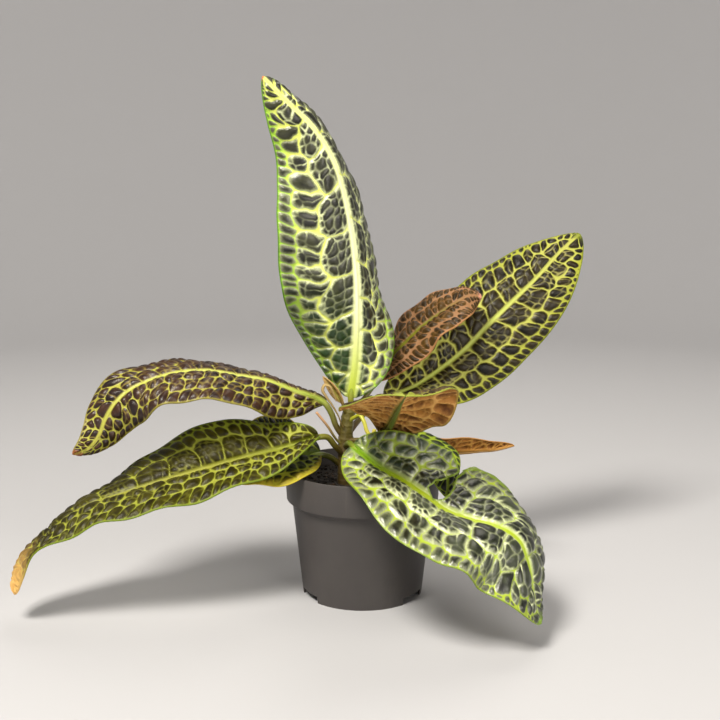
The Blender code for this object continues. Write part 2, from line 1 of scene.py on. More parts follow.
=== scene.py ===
"""The looks of a labisia in its nursery pot: puckered net-veined leaves, stem, soil and pot.

Tables are in millimetres, in the same frame as the solids: +Z up, the front faces -Y.
"""
import math

import bmesh
import bpy
import numpy as np
from mathutils import Matrix, Vector, noise


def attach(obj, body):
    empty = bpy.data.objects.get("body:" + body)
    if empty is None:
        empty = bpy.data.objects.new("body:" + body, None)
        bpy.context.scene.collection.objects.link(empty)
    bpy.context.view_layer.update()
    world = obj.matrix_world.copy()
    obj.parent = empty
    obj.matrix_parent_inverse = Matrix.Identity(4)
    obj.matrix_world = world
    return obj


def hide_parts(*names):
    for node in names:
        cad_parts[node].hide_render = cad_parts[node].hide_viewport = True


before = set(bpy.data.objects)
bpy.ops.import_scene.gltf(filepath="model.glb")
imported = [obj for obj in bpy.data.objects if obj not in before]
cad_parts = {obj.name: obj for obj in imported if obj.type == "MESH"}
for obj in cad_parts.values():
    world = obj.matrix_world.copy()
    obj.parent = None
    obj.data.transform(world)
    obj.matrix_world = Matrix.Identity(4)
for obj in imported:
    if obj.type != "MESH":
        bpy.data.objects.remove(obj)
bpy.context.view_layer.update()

MM = 0.001

# How near points lie that are merged: in metres on a blade, in millimetres on a tube or a turned shape
BLADE_MERGE = 0.00002
TUBE_MERGE = 0.0005
TURNED_MERGE = 0.001

# The camera, placed to match the view from the front
CAMERA_PLACE = (-1.935, -898.08, 344.67)
CAMERA_TILT = 79.807
CAMERA_LENS = 59.83
CAMERA_SENSOR = 36

# The pot
POT_HEIGHT = 100.0
POT_RIM_RADIUS = 60.0
POT_BAND_HEIGHT = 24.0
POT_BAND_FOOT_RADIUS = 58.8
POT_NECK_RADIUS = 54.4
POT_NECK_DROP = 4.0
POT_FOOT_RADIUS = 46.5
POT_WALL = 1.3
POT_LIP = 0.8
POT_FLOOR_HEIGHT = 6.0
POT_CENTRE_FOOT = 9.0
POT_CENTRE_DRAFT = 1.5
POT_SIDES = 144
POT_BEVEL = 0.35
NOTCH_ANGLES = (207.0, 327.0, 87.0)
NOTCH_WIDTH = 25.0
NOTCH_HEIGHT = 5.4
NOTCH_DEPTH = 16.0
DRAIN_HOLES = 6
DRAIN_RADIUS = 3.5
DRAIN_CIRCLE = 28.0
DRAIN_FIRST_ANGLE = 15.0
DRAIN_SIDES = 24
SHARP_ANGLE = 35
WORN_ANGLE = 40

# The soil
SOIL_TOP = 87.0
SOIL_RADIUS = 57.1
SOIL_DEPTH = 9.0
SOIL_RINGS = 60
SOIL_SIDES = 180
SOIL_BUMPS = [(0.06, 1.3), (0.19, 0.7), (0.6, 0.35)]
SOIL_EDGE = 0.8
# Crumbs and chips of bark: piece, material, how many, sizes, shares of the axes, colours, grain
LITTER = [
    ("soil_crumbs", "soil crumbs", 900, (0.5, 1.7), (1.0, 0.9, 0.7), (24, 18, 13), (58, 45, 32), 1500.0),
    ("soil_bark", "bark chips", 160, (1.2, 3.4), (1.0, 0.55, 0.25), (44, 29, 19), (86, 62, 41), 900.0),
]
LITTER_REACH = 0.96
LITTER_ROUGHNESS = (0.75, 1.2)
LITTER_SINK = 0.4
LITTER_SMALLNESS = 2.5
LITTER_TILT = 0.5

# The stem and the two stubs on it
STEM_ROUTE = [(-13, -1, 62), (-13, -1, 90), (-13, -1, 116), (-12.5, -1.5, 130), (-10, -3, 147)]
STEM_RADII = [6.4, 6.2, 5.8, 5.2, 4.2]
STALK_ROUTE = [(-14, -2, 116), (-19, -5, 121), (-27, -9, 134), (-35, -12, 145)]
STALK_RADIUS = 1.0
STUB_ROUTE = [(-11, -4, 136), (-5, -9, 141), (-2, -13, 143), (1, -17, 139), (4, -20, 131), (6, -21, 129),
              (7.5, -21, 130), (9, -21, 134)]
STUB_RADIUS = 1.5
SCAR_SPACING = 11.0
SCAR_RISE = 0.3
SCAR_SHARPNESS = 12
STEM_SWELL = 0.1
STEM_ROUGHNESS = 0.35
STEM_GRID = (40, 150)
TWIG_GRID = (16, 60)
TWIG_FOOT = 1.2

# The blades
BLADE_THICKNESS = 0.6
POINT_STEP = 0.73
END_CROWDING = 0.3
PETIOLE_RADIUS = 2.3
RIB_SWEEP = 0.07
RIB_BEND = 1.5
EASE = 0.1
EASE_AT_BASE = 4.0
EASE_FROM = 0.15
WAVE_RISE = 1.5
WAVE_RIBS = 2.0
WAVE_SHIFT = 2.0
BOW = 0.05

# The puckers between the veins, and the net that they follow
CELL_RISE = 2.6
CELL_SHOULDER = 2.8
VEINLET_RISE = 1.1
EDGE_SHOULDER = 1.6
VEINLET_SHOULDER = 1.7
VEINLET_END = 0.8
VEINLET_LEAST = 0.3
FULL_RISE_WIDTH = 25.0
RIB_OFFSET = 0.3
SEED_JITTER = 0.2
ROUND_OFF = 0.9
FULL_ROUND_WIDTH = 20.0
VEINLET_ROUND_OFF = 0.4
RIM_WIDTH = 0.7

# The net of veins: half the thickness of a main vein, and how the lines waver
RIB_LEAST = 0.55
RIB_CREST = 0.5
VEIN_HALF = 0.85
VEIN_THINNING = 0.45
THINNING_TO_TIP = 0.4
THICKNESS_AT_BASE = 0.5
FULL_THICKNESS_FROM = 0.15
STAGGER = 0.35
VEINLET_JITTER = 0.4
CELL_FILL = 0.95
PLACE_MARGIN = 0.005
LEAST_ROUNDING = 0.3
LONG_RIPPLE = (18, 1.0)
SHORT_RIPPLE = (6, 0.2)
RIPPLE_RANGE = (0.7, 1.4)
SPACING_RANGE = (0.95, 1.7)
CELL_CROWDING = (0.2, 0.38)
LEAN_REACH = 0.5
NARROW = 2.9
COLUMN_SHARE = 0.8
RIPPLES = 6
BATCH = 2000
FAR = 30.0
ATTRIBUTES = ("vein", "depth", "veinlet", "rib", "edge", "place", "across", "tone")
UPRIGHT = [(0, (0.1, -1, 0.05)), (1, (0.1, -1, 0.05))]
SEED = 11

# Each route runs from the stem to the tip, and the blade starts at its point number blade_from.
# face is the way that the upper side looks, at places from 0 at the blade's base to 1 at its tip,
# and fold_left and fold_right the rise of each half in degrees, at even places from base to tip.
LEAVES = {
    "leaf_tall": dict(
        route=[(-10, -3, 144), (-9, -6, 150), (-9, -8, 155), (-6, -12, 178), (-4, -15, 209),
            (-4, -16, 239), (-8, -18, 280), (-13, -22, 307), (-21, -28, 334), (-35, -36, 357),
            (-51, -44, 373), (-69, -54, 391)],
        blade_from=2, half_width=58, widest=0.43, fullness=0.75, ribs=10, look="tall",
        face=[(0, (-0.1, -1, 0)), (0.3, (0.45, -0.9, 0.1)), (0.6, (0.45, -0.85, 0.2)),
            (1, (0.1, -1, 0.05))],
        fold_left=[-10, -26, -23, -14, -11, -12, -24, -22, -26],
        fold_right=[-5, -27, -42, -47, -48, -55, -60, -60, -55]),
    "leaf_right_rear": dict(
        route=[(-9, 1, 128), (-4, 9, 133), (6, 22, 141), (18, 32, 146), (42, 42, 154), (60, 49, 165),
            (82, 57, 181), (105, 66, 203), (125, 74, 221), (141, 81, 235), (165, 92, 259),
            (181, 99, 272)],
        blade_from=3, half_width=42, widest=0.50, fullness=0.57, ribs=9, look="rear",
        face=[(0, (-0.25, -0.85, 0.45)), (0.3, (0, -1, 0)), (0.6, (-0.25, -0.9, 0.25)),
            (1, (-0.3, -0.9, 0.3))],
        fold_left=[-3, 0, -1, -7, -12, -6, -8, -15, -31],
        fold_right=[30, 31, 13, -2, -12, -16, -13, -11, -14]),
    "leaf_young": dict(
        route=[(-9, -1, 139), (-4, 8, 145), (3, 16, 152), (11, 24, 162), (25, 32, 183), (36, 35, 193),
            (47, 38, 203), (58, 40, 211), (73, 43, 221), (86, 46, 227), (95, 48, 226)],
        blade_from=3, half_width=28, widest=0.53, fullness=0.59, ribs=7, look="young",
        face=[(0, (-0.45, -0.85, 0.35)), (0.5, (-0.35, -0.85, 0.35)), (1, (-0.2, -0.95, 0.25))],
        fold_left=[-45, -40, -29, -32, -45], fold_right=[-4, 6, 32, 34, -8]),
    "leaf_front": dict(
        route=[(-12, -3, 121), (-3, -8, 122), (5, -11, 124), (12, -18, 128), (18, -30, 136),
            (21, -50, 146), (24, -78, 161), (26, -108, 174), (28, -132, 183)],
        blade_from=3, half_width=42, widest=0.68, fullness=0.62, ribs=8, look="front",
        face=[(0, (0.16, 0.45, 0.88)), (0.5, (0.24, 0.36, 0.9)), (1, (0.04, 0.46, 0.89))],
        fold_left=[-28, -4, 3, 25, 5], fold_right=[-15, 2, -10, -15, 2]),
    "leaf_front_right": dict(
        route=[(-13, -4, 117), (-12, -12, 120), (-10, -20, 123), (-7, -30, 123), (3, -46, 118),
            (13, -57, 113), (31, -70, 106), (46, -79, 98), (58, -86, 91), (77, -94, 86), (91, -99, 84),
            (102, -103, 80), (109, -105, 74), (113, -107, 65), (116, -109, 53), (118, -111, 37),
            (123, -113, 17)],
        blade_from=3, half_width=56, widest=0.53, fullness=0.61, ribs=9, spread=1.0, look="torn",
        face=[(0, (0.05, -0.9, 0.45)), (0.3, (0.35, -0.8, 0.5)), (0.6, (0.4, -0.75, 0.55)),
            (0.8, (0.4, -0.85, 0.3)), (1, (0.8, -0.6, 0.15))],
        fold_left=[55, 30, -1, -12, -14, -33, -46, -34, -19],
        fold_right=[21, 26, 26, 19, 21, 14, 5, 19, 23]),
    "leaf_left": dict(
        route=[(-15, -2, 124), (-20, -4, 132), (-24, -5, 143), (-28, -6, 150), (-53, -12, 163),
            (-73, -16, 171), (-92, -20, 175), (-118, -26, 180), (-138, -30, 179), (-157, -35, 174),
            (-172, -39, 167), (-181, -42, 159), (-188, -44, 148), (-194, -46, 134), (-201, -48, 126),
            (-212, -50, 122)],
        blade_from=3, half_width=35, widest=0.43, fullness=0.65, ribs=11, look="purple",
        face=[(0, (-0.1, -0.7, 0.7)), (0.3, (0, -0.5, 0.85)), (0.6, (-0.25, -0.45, 0.85)),
            (1, (-0.3, -0.9, -0.2))],
        fold_left=[-40, -32, -8, 3, -6, -5, -28, -55, -55],
        fold_right=[-41, -45, -36, -29, -20, -10, -2, -1, 15]),
    "leaf_right_dark": dict(
        route=[(-10, -1, 104), (-5, 1, 111), (1, 2, 117), (10, 1, 121), (29, -4, 121), (48, -14, 118),
            (58, -26, 111), (63, -34, 100), (62, -38, 86)],
        blade_from=3, half_width=24, widest=0.52, fullness=0.75, ribs=5, look="dark",
        face=[(0, (0, -0.5, 0.9)), (0.5, (0.3, -0.6, 0.8)), (1, (0.6, -0.7, 0.3))],
        fold_left=[-10, -12, -15], fold_right=[0, -5, -10]),
    "leaf_lower_left": dict(
        route=[(-15, -4, 110), (-21, -9, 118), (-27, -13, 126), (-33, -17, 127), (-44, -22, 124),
            (-60, -26, 120), (-77, -30, 117), (-108, -36, 110), (-132, -41, 104), (-155, -45, 98),
            (-179, -49, 91), (-202, -53, 84), (-218, -57, 75), (-233, -61, 62), (-245, -65, 48),
            (-252, -68, 33), (-254, -70, 22)],
        blade_from=3, half_width=38, widest=0.43, fullness=0.60, ribs=11, look="olive",
        face=[(0, (0, -0.2, 1)), (0.3, (0, -0.2, 1)), (0.6, (-0.35, 0, 0.95)), (1, (-0.85, 0, 0.5))],
        fold_left=[35, -4, -4, -10, -13, -17, -21, -9, -42],
        fold_right=[72, 28, 43, 30, 19, 7, 1, 13, 47]),
    "leaf_right_edge": dict(
        route=[(-9, 1, 116), (-2, 6, 119), (6, 11, 117), (14, 15, 113), (34, 20, 107), (54, 22, 105),
            (80, 22, 105), (93, 22, 106), (105, 21, 107), (120, 20, 111)],
        blade_from=3, half_width=17, widest=0.44, fullness=0.66, ribs=6, look="edge",
        face=[(0, (0, 0.1, 1)), (1, (0, 0.1, 1))],
        fold_left=[25, 25, 25, 25, 25], fold_right=[59, 57, 53, 60, 72]),
    "leaf_low_left": dict(
        route=[(-15, -1, 98), (-20, -3, 104), (-26, -6, 109), (-32, -8, 111), (-44, -11, 111),
            (-59, -13, 110), (-77, -12, 109), (-94, -9, 108), (-111, -4, 106)],
        blade_from=3, half_width=39, widest=0.45, fullness=0.60, ribs=6, look="yellow",
        face=[(0, (0, -0.1, 1)), (1, (0, -0.2, 0.95))],
        fold_left=[-9, -8, -5], fold_right=[36, 38, 45]),
    "leaf_unfolding": dict(
        route=[(-12, -4, 141), (-14, -7, 146), (-15, -9, 151), (-19, -10, 158), (-24, -12, 166),
            (-30, -14, 173)],
        blade_from=2, half_width=4.5, widest=0.45, fullness=0.7, ribs=2, look="bud",
        face=[(0, (-0.5, -0.85, 0.15)), (1, (-0.5, -0.85, 0.15))],
        fold_left=[25, 25], fold_right=[25, 25]),
}
PETIOLE_RADII = {"leaf_unfolding": 1.3, "leaf_right_dark": 1.8, "leaf_right_edge": 1.8, "leaf_young": 1.9}

# A young leaf that is still furled, bent over in a loop
CURL_ROUTE = [(-14, -4, 131), (-16, -10, 135), (-18, -14, 142), (-23, -18, 152), (-28, -20, 160),
              (-30, -20, 164), (-28, -20, 168), (-25, -20, 167), (-22, -19, 161), (-20, -18, 155)]
CURL_RADII = [1.4, 1.4, 1.5, 2.3, 3.0, 3.2, 3.2, 3.0, 2.2, 0.8]
CURL_FLATNESS = 0.35
CURL_GRID = (24, 90)

# The tear in the front right leaf, a hole that is open to the leaf's edge, seen from the front
TORN_LEAF = "leaf_front_right"
TEAR_CENTRE = (60, -62, 104)
TEAR_HOLE = [(7.5, 4.5), (7, 3), (5.5, 0.5), (3, -2.5), (0, -4.5), (-3.5, -6.5), (-6.5, -7), (-10, -6.5),
             (-11.5, -3.5), (-13, 0.5), (-10, 2), (-7.5, 4), (-4.5, 3.5), (-0.5, 4), (3, 4.5), (6.5, 5.5)]
TEAR_MOUTH = [(10.5, 7), (9, 11.5), (7, 15), (6.5, 18), (10, 23), (25, 20), (58, 0), (50, -9.5),
              (43.3, -4.4), (37.4, 0.7), (31.6, 4.1), (25, 6.3), (19, 7.2), (13.5, 6.7), (11, 6)]
TEAR_DEPTH = 60.0
TEAR_TOP = 15


def look(*colours, **others):
    """The look of one side of a leaf: its colours in the order of LOOK_ORDER, and what else it has."""
    return dict(zip(LOOK_ORDER, colours), **others)


# Colours of the sides of the leaves, as red, green and blue from 0 to 255
# The third colour, a pale band that fringes the veins, is partly the leaf's own pale feathering and partly
# painted highlight: the white glare of the glossy puckers beside the veins.
LOOK_ORDER = ("cell", "light", "halo", "veinlet", "vein", "foot", "rib", "rim")
GREEN_UNDER = look(
    (90, 78, 34), (116, 102, 48), (132, 120, 56), (142, 132, 66), (150, 148, 66), (118, 138, 34),
    (138, 154, 50), (128, 132, 44))
BROWN_UNDER = look(
    (80, 40, 8), (158, 106, 48), (182, 130, 66), (188, 140, 76), (198, 150, 86), (72, 92, 18),
    (84, 98, 26), (140, 116, 48), halo_width=2.4)
TAN_UNDER = look(
    (92, 52, 12), (134, 84, 26), (150, 100, 38), (160, 112, 48), (168, 122, 56), (78, 60, 18),
    (110, 80, 28), (156, 110, 50))
UNDER = {"young": BROWN_UNDER, "front": BROWN_UNDER, "edge": TAN_UNDER, "bud": TAN_UNDER}
# On the tall and the torn leaf, one more dark green is painted shade: it darkens the base of the blade,
# where the leaves above shade it.
UPPER = {
    "tall": look(
        (12, 13, 3), (50, 52, 28), (212, 220, 168), (218, 226, 172), (234, 242, 120), (176, 192, 52),
        (250, 252, 200), (76, 122, 12), outer=(140, 186, 40), glow=(24, 56, 10), tip=(222, 110, 66),
        tip_from=0.985, halo_width=3.0),
    "torn": look(
        (8, 12, 2), (52, 58, 38), (188, 196, 148), (210, 218, 170), (158, 180, 50), (104, 142, 6),
        (148, 166, 10), (108, 130, 22), outer=(150, 168, 42), glow=(16, 44, 6), tip=(120, 150, 30),
        halo_width=2.9),
    "rear": look(
        (8, 6, 0), (38, 30, 6), (122, 116, 58), (150, 146, 84), (162, 164, 74), (168, 180, 80),
        (168, 178, 82), (104, 114, 20), outer=(142, 146, 44), halo_width=1.9),
    "olive": look(
        (28, 24, 1), (58, 54, 4), (88, 88, 20), (116, 116, 44), (144, 148, 54), (124, 132, 38),
        (140, 140, 52), (92, 108, 22), outer=(116, 126, 32), tip=(206, 164, 96), tip_from=0.81,
        halo_width=1.7),
    # This leaf's cells, net and veins are painted dark as painted shade, for it lies in the shade behind
    # the lower left leaf. Its yellow rim is its own colour.
    "yellow": look(
        (10, 14, 4), (26, 32, 10), (62, 72, 18), (90, 100, 34), (118, 128, 34), (70, 90, 20),
        (120, 132, 40), (172, 156, 42), outer=(156, 150, 38), halo_width=1.4, margin=9.0),
    "dark": look(
        (14, 18, 8), (36, 44, 20), (72, 88, 28), (110, 126, 54), (128, 146, 38), (100, 136, 20),
        (138, 162, 40), (118, 138, 28), halo_width=1.6),
    "purple": look(
        (24, 10, 7), (56, 32, 17), (98, 80, 36), (128, 114, 54), (156, 154, 60), (140, 156, 54),
        (180, 186, 86), (112, 104, 36), outer=(132, 124, 44), tip=(140, 80, 40), tip_from=0.965,
        halo_width=1.2),
    "young": look(
        (38, 25, 4), (72, 50, 12), (98, 68, 30), (116, 82, 48), (134, 98, 66), (86, 88, 12),
        (104, 104, 18), (146, 104, 62), outer=(146, 106, 76), tip=(186, 130, 108), halo_width=1.0),
    "front": look(
        (40, 28, 10), (70, 54, 24), (100, 86, 36), (120, 108, 52), (140, 134, 52), (112, 138, 36),
        (150, 164, 56), (132, 140, 50), halo_width=1.6),
    "edge": look(
        (58, 38, 16), (86, 60, 26), (110, 80, 36), (126, 96, 46), (140, 108, 50), (120, 96, 34),
        (136, 104, 42), (156, 110, 56), halo_width=1.6),
    "bud": look(
        (104, 76, 40), (132, 100, 54), (154, 124, 70), (162, 132, 76), (172, 142, 84), (130, 134, 54),
        (156, 146, 70), (180, 148, 94), halo_width=1.6),
}

# The nets: side ribs in each half; rows of cells from the midrib to the edge of the left and of the
# right half, each with the share of the half where it ends and its cells between two ribs; the
# distance between fine veins; the veins' thickness and lean; the midrib's width and taper
EVEN_ROWS = [(0.42, 1), (0.74, 1.5), (1, 2.6)]
PLAIN_NET = dict(ribs=8, rows=(EVEN_ROWS, EVEN_ROWS), veinlets=5, thickness=0.5, lean=0, rib=1, taper=1.0)
NETS = {
    "tall": dict(ribs=10, rows=([(0.54, 1), (0.84, 2.2), (1, 4)], [(0.5, 1), (0.8, 2.2), (1, 3.6)]),
                 veinlets=6.2, thickness=0.74, lean=0.6, rib=1.12, taper=1.1),
    "torn": dict(ribs=10, rows=([(0.56, 1), (0.84, 1.7), (1, 3.4)], [(0.54, 1), (0.84, 1.8), (1, 3.6)]),
                 veinlets=5.6, thickness=0.46, rib=1.3, taper=0.8),
    "rear": dict(ribs=14, rows=([(0.52, 1), (0.82, 1.7), (1, 2.8)], [(0.54, 1), (0.82, 1.6), (1, 2.8)]),
                 veinlets=5.6, thickness=0.66, rib=0.5, taper=0.7),
    "purple": dict(ribs=20, rows=([(0.34, 1), (0.68, 1.1), (1, 1.5)], [(0.45, 1), (0.75, 1.3), (1, 2)]),
                   veinlets=5.0, thickness=0.4, rib=0.62, taper=0.8),
    "olive": dict(ribs=13, rows=([(0.32, 1.5), (0.64, 2.2), (1, 3)], [(0.74, 1.1), (0.9, 2.6), (1, 4)]),
                  veinlets=5.2, thickness=0.5, lean=0.25, rib=0.72, taper=0.8),
    "young": dict(ribs=18, rows=([(0.62, 1.2), (1, 1.6)], [(0.55, 1.2), (1, 1.5)]), veinlets=5,
                  thickness=0.36, rib=0.8, taper=0.8),
    "front": dict(ribs=11, rows=([(0.8, 1.2), (1, 2)], [(0.8, 1.2), (1, 2)]), veinlets=6, thickness=0.5,
                  taper=0.8),
}
NET_SOCKETS = [("INPUT", "Color", [name.capitalize() for name in (*LOOK_ORDER, "outer", "glow", "tip")]),
               ("INPUT", "Float", ("Halo width", "Gloss", "Tip from", "Glow strength", "Margin")),
               ("OUTPUT", "Color", ("Color",)),
               ("OUTPUT", "Float", ("Roughness", "Height"))]

# How rough each leaf is, and how strong its clear coat and its plain gloss are
GLOSS = {"tall": (0.36, 0.15, 0.45), "torn": (0.33, 0.2, 0.5), "rear": (0.42, 0.0, 0.25),
         "olive": (0.44, 0.0, 0.2), "purple": (0.4, 0.05, 0.35), "young": (0.44, 0.0, 0.2)}
PLAIN_GLOSS = (0.5, 0.0, 0.25)
STALK_SIDES = 16
STALK_STEP = 1.8
STALK_TIP_RADIUS = 0.33
STALK_NARROWING = 8
STALK_DROP = 1.05
STALK_DROP_LENGTH = 12
# Stalks run from a dark olive-brown at the foot by the stem. That dark is partly the stalk's own colour and
# partly painted shade under the crowded leaves.
STALK_FOOT = (80, 60, 22)
STALK_GREEN = (98, 86, 30)
STALK_TURN = (0.85, 0.04)
FLECK_SHADE = 0.45

# The stage and its lights: place, size and power
WALL_RADIUS = 2200.0
WALL_CURVE = 900.0
WALL_HEIGHT = 2600.0
WALL_STEPS = 16
WALL_SIDES = 96
FLOOR_COLOUR = (178, 178, 182)
LIGHTS = [("key", (-600, -950, 1650), 560, 58.0), ("fill", (1050, -1200, 750), 1100, 20.0),
          ("top", (200, 700, 1500), 900, 8.0)]
LIGHT_COLOUR = (1.0, 0.95, 0.85)
LIGHT_TARGET = (0, 0, 150)
WORLD_COLOUR = (222, 213, 196)
WORLD_STRENGTH = 0.1


def paint(colour):
    """A colour of 0 to 255 as the linear values that a shader takes."""
    shares = [channel / 255 for channel in colour]
    line = [share / 12.92 if share <= 0.04045 else ((share + 0.055) / 1.055) ** 2.4 for share in shares]
    return (*line, 1)


def unit(rows):
    return rows / np.linalg.norm(rows, axis=-1, keepdims=True)


def blend(knots, values, places):
    """A smooth curve through values at knots, read at the places."""
    knots = np.asarray(knots, float)
    values = np.asarray(values, float)
    if values.ndim == 1:
        return blend(knots, values[:, None], places)[:, 0]
    gaps = np.diff(knots)
    slopes = np.diff(values, axis=0) / gaps[:, None]
    tangents = np.empty_like(values)
    if len(knots) == 2:
        tangents[:] = slopes[0]
    else:
        weights = (slopes[1:] * gaps[:-1, None] + slopes[:-1] * gaps[1:, None])
        tangents[1:-1] = weights / (gaps[:-1] + gaps[1:])[:, None]
        tangents[0] = 1.5 * slopes[0] - 0.5 * tangents[1]
        tangents[-1] = 1.5 * slopes[-1] - 0.5 * tangents[-2]
    first = np.clip(np.searchsorted(knots, places, side="right") - 1, 0, len(knots) - 2)
    t = np.clip((places - knots[first]) / gaps[first], 0, 1)[:, None]
    gap = gaps[first][:, None]
    return ((1 + 2 * t) * (1 - t) ** 2 * values[first] + t * (1 - t) ** 2 * gap * tangents[first]
            + t * t * (3 - 2 * t) * values[first + 1] + t * t * (t - 1) * gap * tangents[first + 1])


def distances(route):
    steps = np.linalg.norm(np.diff(np.asarray(route, float), axis=0), axis=1)
    return np.concatenate([[0.0], np.cumsum(steps)])


def route_frame(route, along, faces, face_places, ease):
    """Centre, normal and side of a route at distances along it, its bends eased over ease."""
    knots = distances(route)
    centre = blend(knots, route, along)
    ahead = blend(knots, route, np.minimum(along + ease, knots[-1]))
    behind = blend(knots, route, np.maximum(along - ease, 0))
    tangent = unit(ahead - behind)
    face = blend([row[0] for row in faces], unit(np.array([row[1] for row in faces], float)), face_places)
    normal = unit(face - (face * tangent).sum(-1, keepdims=True) * tangent)
    return centre, normal, np.cross(tangent, normal)


def half_width(leaf, place):
    """Width of half a blade, rounded at its base and pointed at its tip."""
    power = math.log(0.5) / math.log(leaf["widest"])
    return leaf["half_width"] * np.sin(np.pi * np.clip(place, 0, 1) ** power) ** leaf["fullness"]


def blade_span(leaf):
    """Distances along a leaf's route, where its blade starts, and the blade's length."""
    knots = distances(leaf["route"])
    start = knots[leaf["blade_from"]]
    return knots, start, knots[-1] - start


def folds(leaf, place):
    """The rise of the left and the right half of a blade, at places along it."""
    return [np.radians(even_curve(leaf[half], place)) for half in ("fold_left", "fold_right")]


def swept(place, across):
    """The place that a side rib which leaves the midrib at a place has reached, across the blade."""
    return place + RIB_SWEEP * 4 * place * (1 - place) * np.abs(across) ** RIB_BEND


def wave(leaf, across, place, size):
    """Rise of the blade's waved edge, which fades towards the midrib."""
    turns = 2 * math.pi * leaf["ribs"] / WAVE_RIBS * place + WAVE_SHIFT * np.sign(across)
    fade = np.abs(across) ** 3 * np.sqrt(np.sin(np.pi * np.clip(place, 0, 1)))
    return size * WAVE_RISE * np.sin(turns) * fade


def even_curve(values, places):
    """A smooth curve through values at even places from 0 to 1."""
    return blend(np.linspace(0, 1, len(values)), values, places)


def ripple(x, y, reach, size, rng):
    """A few crossed sine waves, so that no vein runs quite straight."""
    total = np.zeros_like(x)
    for _ in range(RIPPLES):
        heading = rng.uniform(0, 2 * math.pi)
        turns = 2 * math.pi / (reach * rng.uniform(*RIPPLE_RANGE))
        forward = x * math.cos(heading) + y * math.sin(heading)
        total += np.sin(turns * forward + rng.uniform(0, 2 * math.pi))
    return size * total / math.sqrt(RIPPLES)


def waver(x, y, rng):
    return ripple(x, y, *LONG_RIPPLE, rng) + ripple(x, y, *SHORT_RIPPLE, rng)


def soft_least(gaps, round_off):
    """The least of some gaps, and a little less where two are alike, which rounds a cell's corners."""
    least = gaps.min(-1, keepdims=True)
    short = np.log(np.exp((least - gaps) / round_off[:, None]).sum(-1))
    return np.clip(least[..., 0] - round_off * short, 0, None)


def borders(points, seeds, point_groups, seed_groups, round_off):
    """Distance from each point to its cell's border, and its seed, among the seeds of its group."""
    between = np.linalg.norm(seeds[:, None] - seeds[None], axis=-1)
    distance = np.empty(len(points))
    own = np.empty(len(points), int)
    for start in range(0, len(points), BATCH):
        part = slice(start, start + BATCH)
        away = ((points[part, None] - seeds[None]) ** 2).sum(-1)
        away[point_groups[part, None] != seed_groups[None]] = np.inf
        nearest = away.argmin(1)
        index = np.arange(len(nearest))
        least = away[index, nearest]
        gap = (away - least[:, None]) / (2 * between[nearest] + 1e-6)
        gap[index, nearest] = np.inf
        distance[part] = soft_least(np.minimum(gap, FAR), round_off[part])
        own[part] = nearest
    return distance, own


def main_seeds(leaf, length, rng):
    """Middles of the cells between the side ribs, row by row from the midrib to the edge, the half
    of the blade that each is on, and half its size along and across the blade."""
    seeds = []
    ribs = leaf["net"]["ribs"]
    for side, rows in zip((-1, 1), leaf["net"]["rows"]):
        near = 0
        for far, cells in rows:
            count = round(ribs * cells)
            for step in range(-1, count + 1):
                shift = RIB_OFFSET / ribs if side > 0 else 0
                share = (step + 0.5 + SEED_JITTER * rng.uniform(-1, 1)) / count + shift
                crowding = CELL_CROWDING[share > 0.5]
                place = share - crowding * math.sin(2 * math.pi * share) / (2 * math.pi)
                width = half_width(leaf, place)
                reach = (near + far) / 2 + (far - near) / 2 * SEED_JITTER * rng.uniform(-1, 1)
                slim = near and (far - near) * width < NARROW * (far - near) ** 0.5
                if slim or not PLACE_MARGIN < place < 1 - PLACE_MARGIN:
                    continue
                half = length / count / 2 * (1 - crowding * math.cos(2 * math.pi * share))
                seeds.append((place * length, side * reach * width, side, half, (far - near) * width / 2))
            near = far
    return np.array(seeds)


def veinlet_seeds(main, spacing, rng):
    """Points in staggered rows over each of the main cells, so that fine veins part it further, and the
    number of the main cell that each is in."""
    seeds = []
    owners = []
    for owner, (x, y, _, along, across) in enumerate(main):
        apart = spacing * rng.uniform(*SPACING_RANGE)
        columns = max(1, round(2 * along / apart))
        rows = max(1, round(2 * across / apart))
        for row in range(rows):
            for column in range(columns):
                shift = STAGGER * (-1) ** row
                u = (2 * column + 1 + shift + VEINLET_JITTER * rng.uniform(-1, 1)) / columns - 1
                v = (2 * row + 1 + VEINLET_JITTER * rng.uniform(-1, 1)) / rows - 1
                seeds.append((x + CELL_FILL * u * along, y + CELL_FILL * v * across))
                owners.append(owner)
    return np.array(seeds), np.array(owners)


def vein_net(leaf, length, place, across, width, rng):
    """The net of veins over a blade: distances to its lines and numbers of its cells, at each point."""
    net = leaf["net"]
    y = across * width
    leant = np.minimum(np.abs(y), LEAN_REACH * width) * np.sqrt(np.sin(np.pi * place))
    x = place * length + net["lean"] * leant
    points = np.stack([x + waver(x, y, rng), y + waver(x, y, rng)], -1)
    main = main_seeds(leaf, length, rng)
    seeds = main[:, :2]
    share = np.clip(width / FULL_ROUND_WIDTH, LEAST_ROUNDING, 1)
    depth, cell = borders(points, seeds, np.where(y < 0, -1, 1), main[:, 2], ROUND_OFF * share)
    rib_base = leaf["rib_radius"] * net["rib"]
    rib_half = RIB_LEAST + (rib_base - RIB_LEAST) * (1 - place) ** net["taper"]
    edge = width - np.abs(y)
    inside = np.stack([depth, np.abs(y) - rib_half, edge - RIM_WIDTH * share], -1)
    depth = soft_least(inside, ROUND_OFF * share)
    small, small_cell = veinlet_seeds(main, net["veinlets"], rng)
    fine, _ = borders(points, small, cell, small_cell, VEINLET_ROUND_OFF * share)
    thick = VEIN_HALF * (1 - VEIN_THINNING * np.abs(across)) * (1 - THINNING_TO_TIP * place)
    base = THICKNESS_AT_BASE + (1 - THICKNESS_AT_BASE) * np.minimum(1, place / FULL_THICKNESS_FROM)
    thick = thick * base * net["thickness"]
    tones = rng.random(len(seeds))
    return dict(vein=depth / thick, depth=depth, veinlet=fine, rib=np.abs(y) / rib_half, edge=edge,
                place=place, across=np.abs(across), tone=tones[cell])


